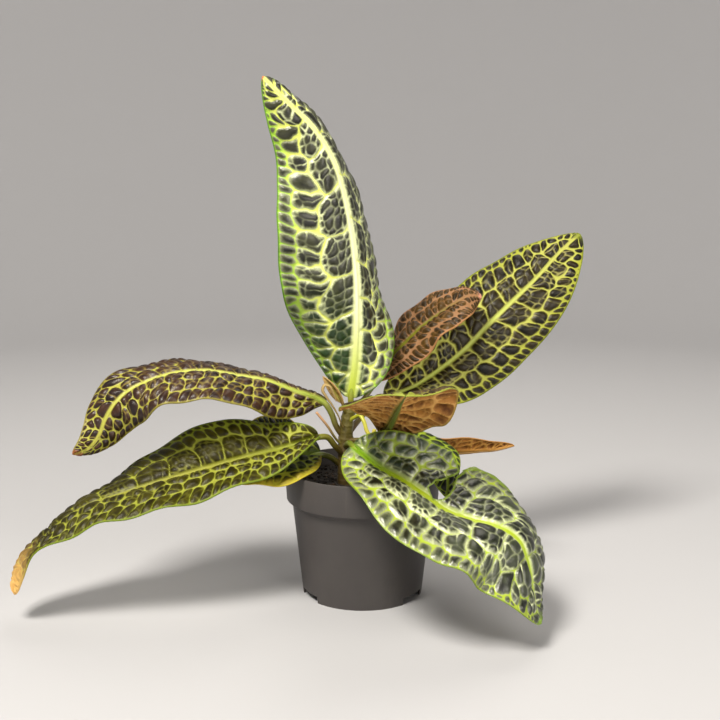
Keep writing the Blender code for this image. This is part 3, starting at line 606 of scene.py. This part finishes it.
def blade_points(leaf, rng):
    """Points over a blade, row by row, with the net of veins at each."""
    _, start, length = blade_span(leaf)
    rows = round(length / POINT_STEP)
    columns = 2 * round(leaf["half_width"] * COLUMN_SHARE / POINT_STEP)
    step = np.linspace(0, 1, rows + 1)
    place = step - END_CROWDING * np.sin(2 * np.pi * step) / (2 * np.pi)
    place, across = np.meshgrid(place, np.linspace(-1, 1, columns + 1), indexing="ij")
    place = place.ravel()
    across = across.ravel()
    here = swept(place, across)
    width = half_width(leaf, here)
    net = vein_net(leaf, length, place, across, width, rng)
    ease = EASE * length * (1 + leaf.get("spread", 0) * np.abs(across))
    ease = EASE_AT_BASE + (ease - EASE_AT_BASE) * np.minimum(1, here / EASE_FROM)
    centre, normal, side = route_frame(leaf["route"], start + here * length, leaf["face"], here, ease)
    fold = np.where(across < 0, *folds(leaf, here))[:, None]
    hand = np.where(across < 0, -1.0, 1.0)[:, None]
    sheet = hand * np.cos(fold) * side + np.sin(fold) * normal
    up = np.cos(fold) * normal - hand * np.sin(fold) * side
    size = min(1.0, leaf["half_width"] / FULL_RISE_WIDTH)
    rise = size * CELL_RISE * (1 - np.exp(-net["depth"] / (CELL_SHOULDER * size)))
    fine = size * VEINLET_RISE * (1 - np.exp(-net["veinlet"] / VEINLET_SHOULDER))
    fine *= np.clip(2 * (VEINLET_END - net["across"]), VEINLET_LEAST, 1)
    rise = (rise + fine * np.minimum(1, net["depth"] / 2)) * np.clip(net["edge"] / EDGE_SHOULDER, 0, 1)
    rise += RIB_CREST * np.clip(1 - net["rib"] ** 2, 0, 1) * (1 - place)
    rise += BOW * width * 4 * np.abs(across) * (1 - np.abs(across)) + wave(leaf, across, here, size)
    points = centre + (np.abs(across) * width)[:, None] * sheet + rise[:, None] * up
    return points, net, np.stack([place * length, across * width], -1), rows, columns


def store(mesh, net, flat):
    """Keep the net as attributes of a mesh's points, and the flat places as its UV map, in metres."""
    for name in ATTRIBUTES:
        layer = mesh.attributes.new(name, "FLOAT", "POINT")
        layer.data.foreach_set("value", net[name].astype(np.float32))
    corners = np.empty(len(mesh.loops), int)
    mesh.loops.foreach_get("vertex_index", corners)
    layer = mesh.uv_layers.new(name="flat")
    layer.data.foreach_set("uv", (flat[corners] * MM).astype(np.float32).ravel())


def new_object(name, data):
    """An object with this data, at the origin of the scene."""
    thing = bpy.data.objects.new(name, data)
    bpy.context.scene.collection.objects.link(thing)
    return thing


def new_piece(name, mesh, nodes, materials):
    """A piece from a finished mesh, which rides on the plant and stands for CAD nodes."""
    piece = new_object(name, mesh)
    for material in materials:
        mesh.materials.append(material)
    mesh.shade_smooth()
    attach(piece, "root")
    if nodes:
        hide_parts(*nodes)
    return piece


def from_bmesh(name, shape):
    """A mesh in metres from a bmesh in millimetres, its faces pointing out."""
    bmesh.ops.scale(shape, vec=(MM, MM, MM), verts=shape.verts)
    bmesh.ops.recalc_face_normals(shape, faces=shape.faces)
    mesh = bpy.data.meshes.new(name)
    shape.to_mesh(mesh)
    shape.free()
    return mesh


def shaped_piece(name, shape, nodes, material):
    """A piece from a bmesh, in one material."""
    return new_piece(name, from_bmesh(name, shape), nodes, [material])


def cut_out(piece, name, shape):
    """Cut a shape out of a piece, and keep what its modifiers leave as its mesh."""
    cutter = new_object(name, from_bmesh(name, shape))
    cut = piece.modifiers.new("cut", "BOOLEAN")
    cut.operation = "DIFFERENCE"
    cut.object = cutter
    bpy.context.view_layer.update()
    shown = piece.evaluated_get(bpy.context.evaluated_depsgraph_get())
    mesh = bpy.data.meshes.new_from_object(shown)
    piece.modifiers.clear()
    piece.data = mesh
    bpy.data.objects.remove(cutter)


def blade_mesh(name, leaf, rng):
    points, net, flat, rows, columns = blade_points(leaf, rng)
    if name == TORN_LEAF:
        net["edge"] = np.minimum(net["edge"], tear_distance(points))
    shape = bmesh.new()
    bmesh.ops.create_grid(shape, x_segments=columns, y_segments=rows, size=1)
    mesh = bpy.data.meshes.new(name)
    shape.to_mesh(mesh)
    mesh.vertices.foreach_set("co", (points * MM).astype(np.float32).ravel())
    store(mesh, net, flat)
    shape.clear()
    shape.from_mesh(mesh)
    bmesh.ops.remove_doubles(shape, verts=shape.verts, dist=BLADE_MERGE)
    shape.to_mesh(mesh)
    shape.free()
    return mesh


def tear_distance(points):
    """How far each point lies from the tear, in the plane that faces the front."""
    outline = np.array(TEAR_HOLE + TEAR_MOUTH[:4] + TEAR_MOUTH[7:], float)
    outline += (TEAR_CENTRE[0], TEAR_CENTRE[2])
    place = points[:, [0, 2]]
    nearest = np.full(len(points), np.inf)
    for first, second in zip(outline, np.roll(outline, -1, axis=0)):
        if first[1] > TEAR_CENTRE[2] + TEAR_TOP:
            continue
        line = second - first
        share = np.clip(((place - first) @ line) / (line @ line), 0, 1)
        nearest = np.minimum(nearest, np.linalg.norm(place - first - share[:, None] * line, axis=1))
    return nearest


def tear_shape():
    """The outline of the tear, drawn through the leaf."""
    shape = bmesh.new()
    x, y, z = TEAR_CENTRE
    outline = TEAR_HOLE + TEAR_MOUTH
    ring = [shape.verts.new((x + across, y - TEAR_DEPTH / 2, z + up)) for across, up in outline]
    face = shape.faces.new(ring)
    moved = bmesh.ops.extrude_face_region(shape, geom=[face])["geom"]
    verts = [thing for thing in moved if isinstance(thing, bmesh.types.BMVert)]
    bmesh.ops.translate(shape, vec=(0, TEAR_DEPTH, 0), verts=verts)
    return shape


def thicken(piece):
    """Give a blade its thickness, its under side in its second material."""
    solid = piece.modifiers.new("thickness", "SOLIDIFY")
    solid.thickness = BLADE_THICKNESS * MM
    solid.offset = -1
    solid.material_offset = 1


def tube(route, radii, sides, rows, faces=UPRIGHT, blade=(0, None), flatness=1.0, drop=None):
    """A closed tube along a route. blade gives where faces start and end along it, and drop how many
    of its radii it hangs aside and below. Each point keeps how far along it lies, from 0 to 1."""
    knots = distances(route)
    along = np.linspace(0, knots[-1], rows)
    start = blade[0]
    length = (blade[1] or knots[-1]) - start
    centre, normal, side = route_frame(route, along, faces, np.clip((along - start) / length, 0, 1), 1.0)
    radius = radii(along) if callable(radii) else blend(knots, radii, along)
    if drop:
        aside, below = drop(along)
        centre = centre + (aside * radius)[:, None] * side - (below * radius)[:, None] * normal
    turn = (np.arange(sides + 1) % sides * 2 * math.pi / sides)[None, :, None]
    out = flatness * np.cos(turn) * side[:, None] + np.sin(turn) * normal[:, None]
    points = centre[:, None] + radius[:, None, None] * out
    shape = bmesh.new()
    bmesh.ops.create_grid(shape, x_segments=sides, y_segments=rows - 1, size=1)
    place = shape.verts.layers.float.new("place")
    shape.verts.ensure_lookup_table()
    for vert in shape.verts:
        row, column = divmod(vert.index, sides + 1)
        vert.co = points[row, column]
        vert[place] = along[row] / knots[-1]
    bmesh.ops.remove_doubles(shape, verts=shape.verts, dist=TUBE_MERGE)
    bmesh.ops.holes_fill(shape, edges=[edge for edge in shape.edges if edge.is_boundary])
    return shape


class Nodes:
    """A node tree, with a short call for each kind of node that the looks use. The calls take values
    or outputs, and give an output."""

    def __init__(self, tree):
        self.tree = tree

    def feed(self, sockets, inputs):
        """Set sockets to values, or link them to outputs."""
        for key, value in inputs.items():
            if isinstance(value, bpy.types.NodeSocket):
                self.tree.links.new(value, sockets[key])
            else:
                sockets[key].default_value = value

    def add(self, kind, inputs, **settings):
        """The outputs of a new node with these inputs and settings."""
        made = self.tree.nodes.new(f"ShaderNode{kind}")
        for key, value in settings.items():
            setattr(made, key, value)
        self.feed(made.inputs, inputs)
        return made.outputs

    def attribute(self, name):
        return self.add("Attribute", {}, attribute_name=name)["Fac"]

    def object_place(self):
        return self.add("TexCoord", {})["Object"]

    def math(self, operation, *values):
        return self.add("Math", dict(enumerate(values)), operation=operation)[0]

    def sum_of(self, first, second, factor=1.0):
        """first + second * factor."""
        return self.math("MULTIPLY_ADD", second, factor, first)

    def product(self, first, second):
        return self.math("MULTIPLY", first, second)

    def step_of(self, value, low, high, at_low=0.0, at_high=1.0):
        """A smooth step of a value from at_low, where it is low, to at_high."""
        inputs = {"Value": value, "From Min": low, "From Max": high, "To Min": at_low, "To Max": at_high}
        return self.add("MapRange", inputs, interpolation_type="SMOOTHSTEP")["Result"]

    def fall(self, value, low, high, most=1.0):
        """A smooth step of a value from most, where it is low, to nothing."""
        return self.step_of(value, low, high, most, 0.0)

    def mix(self, factor, first, second):
        return self.add("Mix", {0: factor, 6: first, 7: second}, data_type="RGBA")[2]

    def grain(self, vector, scale, detail=3.0, roughness=0.5):
        inputs = {"Vector": vector, "Scale": scale, "Detail": detail, "Roughness": roughness}
        return self.add("TexNoise", inputs)["Fac"]

    def bump(self, height, strength, distance):
        inputs = {"Height": height, "Strength": strength, "Distance": distance}
        return self.add("Bump", inputs)["Normal"]


def net_group():
    """The colours of a net-veined leaf, laid over each other from the cells to the rim."""
    group = bpy.data.node_groups.new("net of veins", "ShaderNodeTree")
    for side, kind, names in NET_SOCKETS:
        for name in names:
            group.interface.new_socket(name, in_out=side, socket_type=f"NodeSocket{kind}")
    given = group.nodes.new("NodeGroupInput").outputs
    result = group.nodes.new("NodeGroupOutput").inputs
    tree = Nodes(group)
    uv = tree.add("UVMap", {}, uv_map="flat")["UV"]
    flat = tree.add("VectorMath", {0: uv, "Scale": 1 / MM}, operation="SCALE")[0]
    aside = tree.add("SeparateXYZ", {"Vector": flat})["Y"]
    vein, depth, fine, ribs, edge, place, across, tone = [tree.attribute(name) for name in ATTRIBUTES]
    cloud = tree.grain(flat, 0.13)
    fibre = tree.grain(flat, 0.75, 4.0, 0.6)
    drift = tree.sum_of(cloud, -0.5)
    swing = tree.sum_of(fibre, -0.5)
    feather = tree.sum_of(tree.sum_of(depth, swing, 2.0), tree.fall(fine, 0.0, 1.9), -0.8)
    feather = tree.sum_of(feather, tree.step_of(place, 0.6, 1.0), 1.6)
    # The pale fringe of the veins: partly pale feathering, partly painted highlight standing for the glare
    # on the puckers beside the veins.
    halo = tree.fall(feather, -0.6, given["Halo width"])
    halo = tree.product(halo, tree.step_of(across, 0.5, 0.95, 1.0, 0.45))
    fine = tree.sum_of(fine, tree.sum_of(drift, swing, 1.2), 0.6)
    fade = tree.step_of(tree.sum_of(depth, drift, 14.0), 0.5, 6.0, 0.86, 0.18)
    fade = tree.product(fade, tree.step_of(across, 0.45, 0.7, 1.0, 0.35))
    edge = tree.sum_of(edge, swing, 1.6)
    margin = tree.product(tree.fall(edge, 1.0, given["Margin"], 0.75), tree.fall(aside, -3.0, 0.0))
    # Painted shade: a mask over the left half of the blade near its base, and along the midrib near the
    # base, where the leaves above shade the blade. It has no strength except on the tall and the torn leaf.
    left = tree.product(tree.fall(aside, -6.0, 0.0, 0.85), tree.fall(place, 0.06, 0.38))
    glow = tree.product(tree.fall(ribs, 1.0, 4.5), tree.fall(place, 0.0, 0.45, 0.95))
    glow = tree.product(tree.math("MAXIMUM", glow, left), given["Glow strength"])
    vein = tree.sum_of(vein, swing, 0.7)
    line = tree.fall(vein, 0.7, 1.25)
    vein_colour = tree.mix(tree.step_of(across, 0.5, 0.95), given["Vein"], given["Outer"])
    rib = tree.sum_of(ribs, swing, 0.5)
    rib_colour = tree.mix(tree.step_of(place, 0.0, 0.38), given["Foot"], given["Rib"])
    rib_colour = tree.mix(tree.step_of(place, 0.5, 0.95), rib_colour, given["Vein"])
    layers = [
        (halo, given["Halo"]),
        (tree.product(tree.fall(fine, 0.1, 1.4, 0.6), fade), given["Halo"]),
        (tree.product(tree.fall(fine, 0.0, 0.75, 0.9), fade), given["Veinlet"]),
        (margin, given["Rim"]),
        (tree.fall(vein, 0.9, 2.6, 0.55), vein_colour),
        (line, vein_colour),
        # The painted shade, a darker green laid over the veins and cells near the base.
        (tree.product(glow, tree.step_of(depth, 0.0, 3.0, 0.6, 1.0)), given["Glow"]),
        # The same pale fringe along the midrib, partly painted highlight.
        (tree.fall(tree.sum_of(ribs, feather, 0.3), 1.2, 2.8, 0.7), given["Halo"]),
        (tree.fall(rib, 0.9, 2.2, 0.7), rib_colour),
        (tree.fall(rib, 0.7, 1.1), rib_colour),
        (tree.fall(edge, 0.5, 1.4, 0.95), given["Rim"]),
        (tree.step_of(tree.sum_of(place, drift, 0.06), given["Tip from"], 1.0), given["Tip"]),
    ]
    light = tree.step_of(tree.sum_of(cloud, tone, 0.25), 0.42, 0.85)
    colour = tree.mix(light, given["Cell"], given["Light"])
    for cover, shade in layers:
        colour = tree.mix(cover, colour, shade)
    skin = tree.add("TexVoronoi", {"Vector": flat, "Scale": 0.55}, feature="DISTANCE_TO_EDGE")
    tree.feed(result, {
        "Color": colour,
        "Roughness": tree.sum_of(tree.sum_of(given["Gloss"], line, 0.1), swing, 0.2),
        "Height": tree.sum_of(tree.step_of(skin["Distance"], 0.0, 0.25), fibre, 0.5),
    })
    return group


def new_material(name):
    """A material, its nodes and the sockets of its shader."""
    material = bpy.data.materials.new(name)
    material.use_nodes = True
    tree = material.node_tree
    return material, Nodes(tree), tree.nodes["Principled BSDF"].inputs


def leaf_material(name, group, colours, gloss, coat, shine):
    """A leaf's upper or under side: the net of veins in its own colours."""
    material, tree, shader = new_material(name)
    inputs = {"Halo width": colours.get("halo_width", 3.0), "Margin": colours.get("margin", 1.4),
              "Tip from": colours.get("tip_from", 0.96), "Gloss": gloss,
              # Only the looks that give a dark green for painted shade get it; the others take the foot
              # colour at no strength.
              "Glow strength": float("glow" in colours)}
    colours = {"tip": colours["rim"], "outer": colours["vein"], "glow": colours["foot"], **colours}
    for key, value in colours.items():
        if isinstance(value, tuple):
            inputs[key.capitalize()] = paint(value)
    net = tree.add("Group", inputs, node_tree=group)
    tree.feed(shader, {"Base Color": net["Color"], "Roughness": net["Roughness"], "Coat Weight": coat,
                       "Coat Roughness": 0.35, "Specular IOR Level": shine,
                       "Normal": tree.bump(net["Height"], 0.25, 0.0002)})
    return material


def stalk_material(name, foot, middle, far, turn=(0.12, 0.5)):
    """A stalk that passes through three colours from its foot to its end, finely furrowed."""
    material, tree, shader = new_material(name)
    where = tree.object_place()
    fleck = tree.grain(where, 900.0, 4.0, 0.6)
    cloud = tree.grain(where, 120.0)
    along = tree.sum_of(tree.attribute("place"), tree.sum_of(cloud, -0.5), 0.04)
    colour = tree.mix(tree.step_of(along, 0.0, turn[0]), paint(foot), paint(middle))
    colour = tree.mix(tree.step_of(along, *turn), colour, paint(far))
    dark = (*[FLECK_SHADE * channel for channel in paint(foot)[:3]], 1)
    colour = tree.mix(tree.step_of(fleck, 0.55, 0.8, 0.0, 0.5), colour, dark)
    tree.feed(shader, {"Base Color": colour, "Roughness": 0.42, "Coat Weight": 0.15,
                       "Normal": tree.bump(tree.sum_of(fleck, cloud), 0.35, 0.0003)})
    return material


def pot_material():
    """Grey moulded plastic with a fine grain, a little dust and dull scuffs."""
    material, tree, shader = new_material("pot plastic")
    where = tree.object_place()
    cloud = tree.grain(where, 28.0, 4.0, 0.6)
    streaks = tree.add("Mapping", {"Vector": where, "Scale": (60.0, 60.0, 6.0)})["Vector"]
    scuff = tree.grain(streaks, 2.5, 5.0, 0.65)
    colour = tree.mix(tree.step_of(cloud, 0.3, 0.75), paint((60, 56, 55)), paint((66, 62, 60)))
    colour = tree.mix(tree.step_of(scuff, 0.58, 0.8, 0.0, 0.35), colour, paint((86, 81, 77)))
    tree.feed(shader, {"Base Color": colour, "Roughness": tree.sum_of(0.42, scuff, 0.22),
                       "Normal": tree.bump(tree.grain(where, 2600.0, 2.0), 0.2, 0.0001)})
    return material


def soil_material(name, dark, light, scale):
    material, tree, shader = new_material(name)
    where = tree.object_place()
    crumb = tree.grain(where, scale, 5.0, 0.65)
    cloud = tree.grain(where, scale / 8, 2.0)
    colour = tree.mix(tree.step_of(crumb, 0.4, 0.7), paint(dark), paint(light))
    colour = tree.mix(tree.step_of(cloud, 0.4, 0.7, 0.0, 0.5), colour, paint(dark))
    tree.feed(shader, {"Base Color": colour, "Roughness": 0.92,
                       "Normal": tree.bump(crumb, 0.8, 0.0008)})
    return material


def make_leaf(name, leaf, group, number):
    """A blade with its net of veins, and the stalk that runs on beneath it as the midrib."""
    look = leaf["look"]
    leaf["rib_radius"] = PETIOLE_RADII.get(name, PETIOLE_RADIUS)
    net = leaf["net"] = {**PLAIN_NET, **NETS.get(look, {})}
    upper = UPPER[look]
    under = UNDER.get(look, GREEN_UNDER)
    materials = [leaf_material(f"{look} upper side", group, upper, *GLOSS.get(look, PLAIN_GLOSS)),
                 leaf_material(f"{look} under side", group, under, *PLAIN_GLOSS)]
    mesh = blade_mesh(name, leaf, np.random.default_rng(SEED + number))
    blade = new_piece(f"{name}_blade", mesh, [name], materials)
    thicken(blade)
    if name == TORN_LEAF:
        cut_out(blade, "cut_tear", tear_shape())
    knots, start, length = blade_span(leaf)

    def radius(along):
        place = np.clip((along - start) / length, 0, 1)
        narrow = 1 - (1 - net["rib"]) * np.minimum(1, place * STALK_NARROWING)
        excess = leaf["rib_radius"] * narrow - STALK_TIP_RADIUS
        return STALK_TIP_RADIUS + excess * (1 - place) ** net["taper"]

    def drop(along):
        left, right = folds(leaf, np.clip((along - start) / length, 0, 1))
        reach = STALK_DROP * np.clip((along - start) / STALK_DROP_LENGTH, 0, 1)
        reach = reach / np.cos(np.minimum(0, (left + right) / 2))
        return reach * np.sin((right - left) / 2), reach * np.cos((right - left) / 2)

    rows = round(knots[-1] / STALK_STEP)
    shape = tube(leaf["route"], radius, STALK_SIDES, rows, leaf["face"], (start, knots[-1]), drop=drop)
    share = start / knots[-1]
    middle = tuple((first + second) / 2 for first, second in zip(STALK_GREEN, upper["foot"]))
    turn = (share * STALK_TURN[0], share + STALK_TURN[1])
    material = stalk_material(f"{name} stalk", STALK_FOOT, middle, under["rib"], turn)
    shaped_piece(f"{name}_stalk", shape, [], material)


def make_curled_leaf():
    shape = tube(CURL_ROUTE, CURL_RADII, *CURL_GRID, flatness=CURL_FLATNESS)
    material = stalk_material("furled leaf", (104, 92, 44), (138, 112, 64), (172, 146, 94))
    shaped_piece("leaf_curled_roll", shape, ["leaf_curled"], material)


def make_stem():
    """The stem with the scars of fallen leaves, and the two stubs that grow from it."""
    knots = distances(STEM_ROUTE)

    def radius(along):
        scars = np.cos(along * 2 * math.pi / SCAR_SPACING) ** SCAR_SHARPNESS
        return blend(knots, STEM_RADII, along) + STEM_SWELL + SCAR_RISE * scars

    shape = tube(STEM_ROUTE, radius, *STEM_GRID)
    noise.seed_set(SEED)  # without it the noise of vectors starts from the clock
    for vert in shape.verts:
        vert.co += STEM_ROUGHNESS * noise.noise_vector(vert.co * 0.35)
    # The stem's olive-browns are partly its own colour and partly painted shade, darkened because it stands
    # under the leaves.
    material = stalk_material("stem", (60, 46, 26), (76, 62, 28), (98, 90, 36), (0.5, 0.95))
    shaped_piece("stem_main", shape, ["stem"], material)
    twigs = [("stem_stalk", STALK_ROUTE, STALK_RADIUS, (110, 100, 46), (196, 150, 110)),
             ("stem_stub", STUB_ROUTE, STUB_RADIUS, (168, 170, 44), (190, 180, 64))]
    for name, route, radius, colour, far in twigs:
        shape = tube(route, [radius * TWIG_FOOT] + [radius] * (len(route) - 1), *TWIG_GRID)
        material = stalk_material(name.replace("_", " "), (130, 130, 40), colour, far, (0.3, 0.95))
        shaped_piece(name, shape, [], material)


def pot_outer(height):
    """Outer radius of the tapered body below the rim band."""
    neck = POT_HEIGHT - POT_BAND_HEIGHT - POT_NECK_DROP
    return POT_FOOT_RADIUS + (POT_NECK_RADIUS - POT_FOOT_RADIUS) * height / neck


def turned(profile, sides):
    """A solid of revolution about the Z axis from an axis-to-axis outline."""
    shape = bmesh.new()
    verts = [shape.verts.new((radius, 0, height)) for radius, height in profile]
    edges = [shape.edges.new(pair) for pair in zip(verts, verts[1:])]
    bmesh.ops.spin(shape, geom=verts + edges, cent=(0, 0, 0), axis=(0, 0, 1), angle=2 * math.pi,
                   steps=sides, use_merge=True)
    bmesh.ops.remove_doubles(shape, verts=shape.verts, dist=TURNED_MERGE)
    return shape


def make_pot():
    band_foot = POT_HEIGHT - POT_BAND_HEIGHT
    neck = band_foot - POT_NECK_DROP
    floor_top = POT_FLOOR_HEIGHT + POT_WALL
    profile = [
        (0, 0), (POT_CENTRE_FOOT, 0), (POT_CENTRE_FOOT + POT_CENTRE_DRAFT, POT_FLOOR_HEIGHT),
        (pot_outer(POT_FLOOR_HEIGHT) - 2 * POT_WALL, POT_FLOOR_HEIGHT),
        (pot_outer(0) - POT_WALL, 0), (pot_outer(0), 0),
        (POT_NECK_RADIUS, neck), (POT_BAND_FOOT_RADIUS, band_foot),
        (POT_RIM_RADIUS, POT_HEIGHT - POT_LIP), (POT_RIM_RADIUS - POT_LIP / 2, POT_HEIGHT),
        (POT_RIM_RADIUS - POT_WALL, POT_HEIGHT), (POT_BAND_FOOT_RADIUS - POT_WALL, band_foot + POT_LIP),
        (POT_NECK_RADIUS - POT_WALL, neck + POT_LIP),
        (pot_outer(floor_top) - POT_WALL, floor_top),
        (POT_CENTRE_FOOT - POT_CENTRE_DRAFT / 2, floor_top), (POT_CENTRE_FOOT - POT_CENTRE_DRAFT, POT_WALL),
        (0, POT_WALL),
    ]
    pot = shaped_piece("pot_shell", turned(profile, POT_SIDES), ["pot"], pot_material())
    cutters = []
    for angle in NOTCH_ANGLES:
        shape = bmesh.new()
        bmesh.ops.create_cube(shape, size=1)
        bmesh.ops.scale(shape, vec=(NOTCH_DEPTH, NOTCH_WIDTH, 2 * NOTCH_HEIGHT), verts=shape.verts)
        bmesh.ops.translate(shape, vec=(POT_FOOT_RADIUS, 0, 0), verts=shape.verts)
        bmesh.ops.rotate(shape, matrix=Matrix.Rotation(math.radians(angle), 3, "Z"), verts=shape.verts)
        cutters.append(shape)
    for number in range(DRAIN_HOLES):
        shape = bmesh.new()
        bmesh.ops.create_cone(shape, cap_ends=True, segments=DRAIN_SIDES, radius1=DRAIN_RADIUS,
                              radius2=DRAIN_RADIUS, depth=POT_FLOOR_HEIGHT)
        angle = math.radians(DRAIN_FIRST_ANGLE + 360 / DRAIN_HOLES * number)
        place = (DRAIN_CIRCLE * math.cos(angle), DRAIN_CIRCLE * math.sin(angle), POT_FLOOR_HEIGHT)
        bmesh.ops.translate(shape, vec=place, verts=shape.verts)
        cutters.append(shape)
    for number, shape in enumerate(cutters):
        cut_out(pot, f"cut_pot_{number}", shape)
    pot.data.set_sharp_from_angle(angle=math.radians(SHARP_ANGLE))
    edges = pot.modifiers.new("worn edges", "BEVEL")
    edges.width = POT_BEVEL * MM
    edges.segments = 3
    edges.limit_method = "ANGLE"
    edges.angle_limit = math.radians(WORN_ANGLE)


def make_soil():
    """Potting soil with a crumbly top, and the crumbs and chips of bark that lie on it."""
    profile = [(SOIL_RADIUS * step / SOIL_RINGS, SOIL_TOP) for step in range(SOIL_RINGS + 1)]
    profile += [(SOIL_RADIUS - SOIL_EDGE, SOIL_TOP - SOIL_DEPTH), (0, SOIL_TOP - SOIL_DEPTH)]
    shape = turned(profile, SOIL_SIDES)
    for vert in shape.verts:
        if vert.co.z > SOIL_TOP - 1:
            vert.co.z = soil_height(vert.co.x, vert.co.y)
    material = soil_material("potting soil", (20, 15, 11), (48, 37, 27), 700.0)
    shaped_piece("soil_bed", shape, ["soil"], material)
    rng = np.random.default_rng(SEED)
    for name, title, count, sizes, shares, dark, light, scale in LITTER:
        shape = scatter(rng, count, sizes, shares)
        shaped_piece(name, shape, [], soil_material(title, dark, light, scale))


def soil_height(x, y):
    place = Vector((x, y, 0))
    return SOIL_TOP + sum(rise * noise.noise(place * scale) for scale, rise in SOIL_BUMPS)


def scatter(rng, count, sizes, shares):
    """Small angular lumps that lie on the soil, in one shape."""
    shape = bmesh.new()
    for _ in range(count):
        radius = SOIL_RADIUS * LITTER_REACH * math.sqrt(rng.random())
        angle = rng.uniform(0, 2 * math.pi)
        x, y = radius * math.cos(angle), radius * math.sin(angle)
        size = sizes[0] + (sizes[1] - sizes[0]) * rng.random() ** LITTER_SMALLNESS
        made = bmesh.ops.create_icosphere(shape, subdivisions=1, radius=size)["verts"]
        bmesh.ops.scale(shape, vec=shares, verts=made)
        for vert in made:
            vert.co *= rng.uniform(*LITTER_ROUGHNESS)
        turn = Matrix.Rotation(rng.uniform(0, 2 * math.pi), 3, "Z")
        tilt = Matrix.Rotation(rng.uniform(-LITTER_TILT, LITTER_TILT), 3, "X")
        bmesh.ops.rotate(shape, matrix=turn @ tilt, verts=made)
        place = (x, y, soil_height(x, y) + size * shares[2] * LITTER_SINK)
        bmesh.ops.translate(shape, vec=place, verts=made)
    return shape


def make_stage():
    """A pale floor that curves up into a pale wall all round."""
    profile = [(0, 0)]
    for step in range(WALL_STEPS + 1):
        angle = math.radians(90 * step / WALL_STEPS)
        radius = WALL_RADIUS - WALL_CURVE + WALL_CURVE * math.sin(angle)
        profile.append((radius, WALL_CURVE - WALL_CURVE * math.cos(angle)))
    profile.append((WALL_RADIUS, WALL_HEIGHT))
    floor = new_object("floor", from_bmesh("floor", turned(profile, WALL_SIDES)))
    floor.data.shade_smooth()
    material, tree, shader = new_material("pale floor")
    tree.feed(shader, {"Base Color": paint(FLOOR_COLOUR), "Roughness": 0.7})
    floor.data.materials.append(material)


def make_lights():
    """Soft studio light: a large key from the upper left, a weak fill and a light from above the back."""
    for name, place, size, power in LIGHTS:
        light = bpy.data.lights.new(name, "AREA")
        light.shape = "SQUARE"
        light.size = size * MM
        light.energy = power
        light.color = LIGHT_COLOUR
        thing = new_object(name, light)
        thing.location = Vector(place) * MM
        thing.rotation_euler = (Vector(LIGHT_TARGET) - Vector(place)).to_track_quat("-Z", "Y").to_euler()
    world = bpy.data.worlds.new("studio")
    world.use_nodes = True
    tree = world.node_tree
    inputs = {"Color": paint(WORLD_COLOUR), "Strength": WORLD_STRENGTH}
    Nodes(tree).feed(tree.nodes["Background"].inputs, inputs)
    bpy.context.scene.world = world


def make_camera():
    camera = bpy.data.cameras.new("camera")
    camera.lens = CAMERA_LENS
    camera.sensor_width = CAMERA_SENSOR
    thing = new_object("camera", camera)
    thing.location = Vector(CAMERA_PLACE) * MM
    thing.rotation_euler = (math.radians(CAMERA_TILT), 0, 0)
    bpy.context.scene.camera = thing
    bpy.context.scene.view_settings.view_transform = "Standard"


def main():
    make_camera()
    make_lights()
    make_stage()
    make_pot()
    make_soil()
    make_stem()
    make_curled_leaf()
    group = net_group()
    for number, (name, leaf) in enumerate(LEAVES.items()):
        make_leaf(name, leaf, group, number)


main()
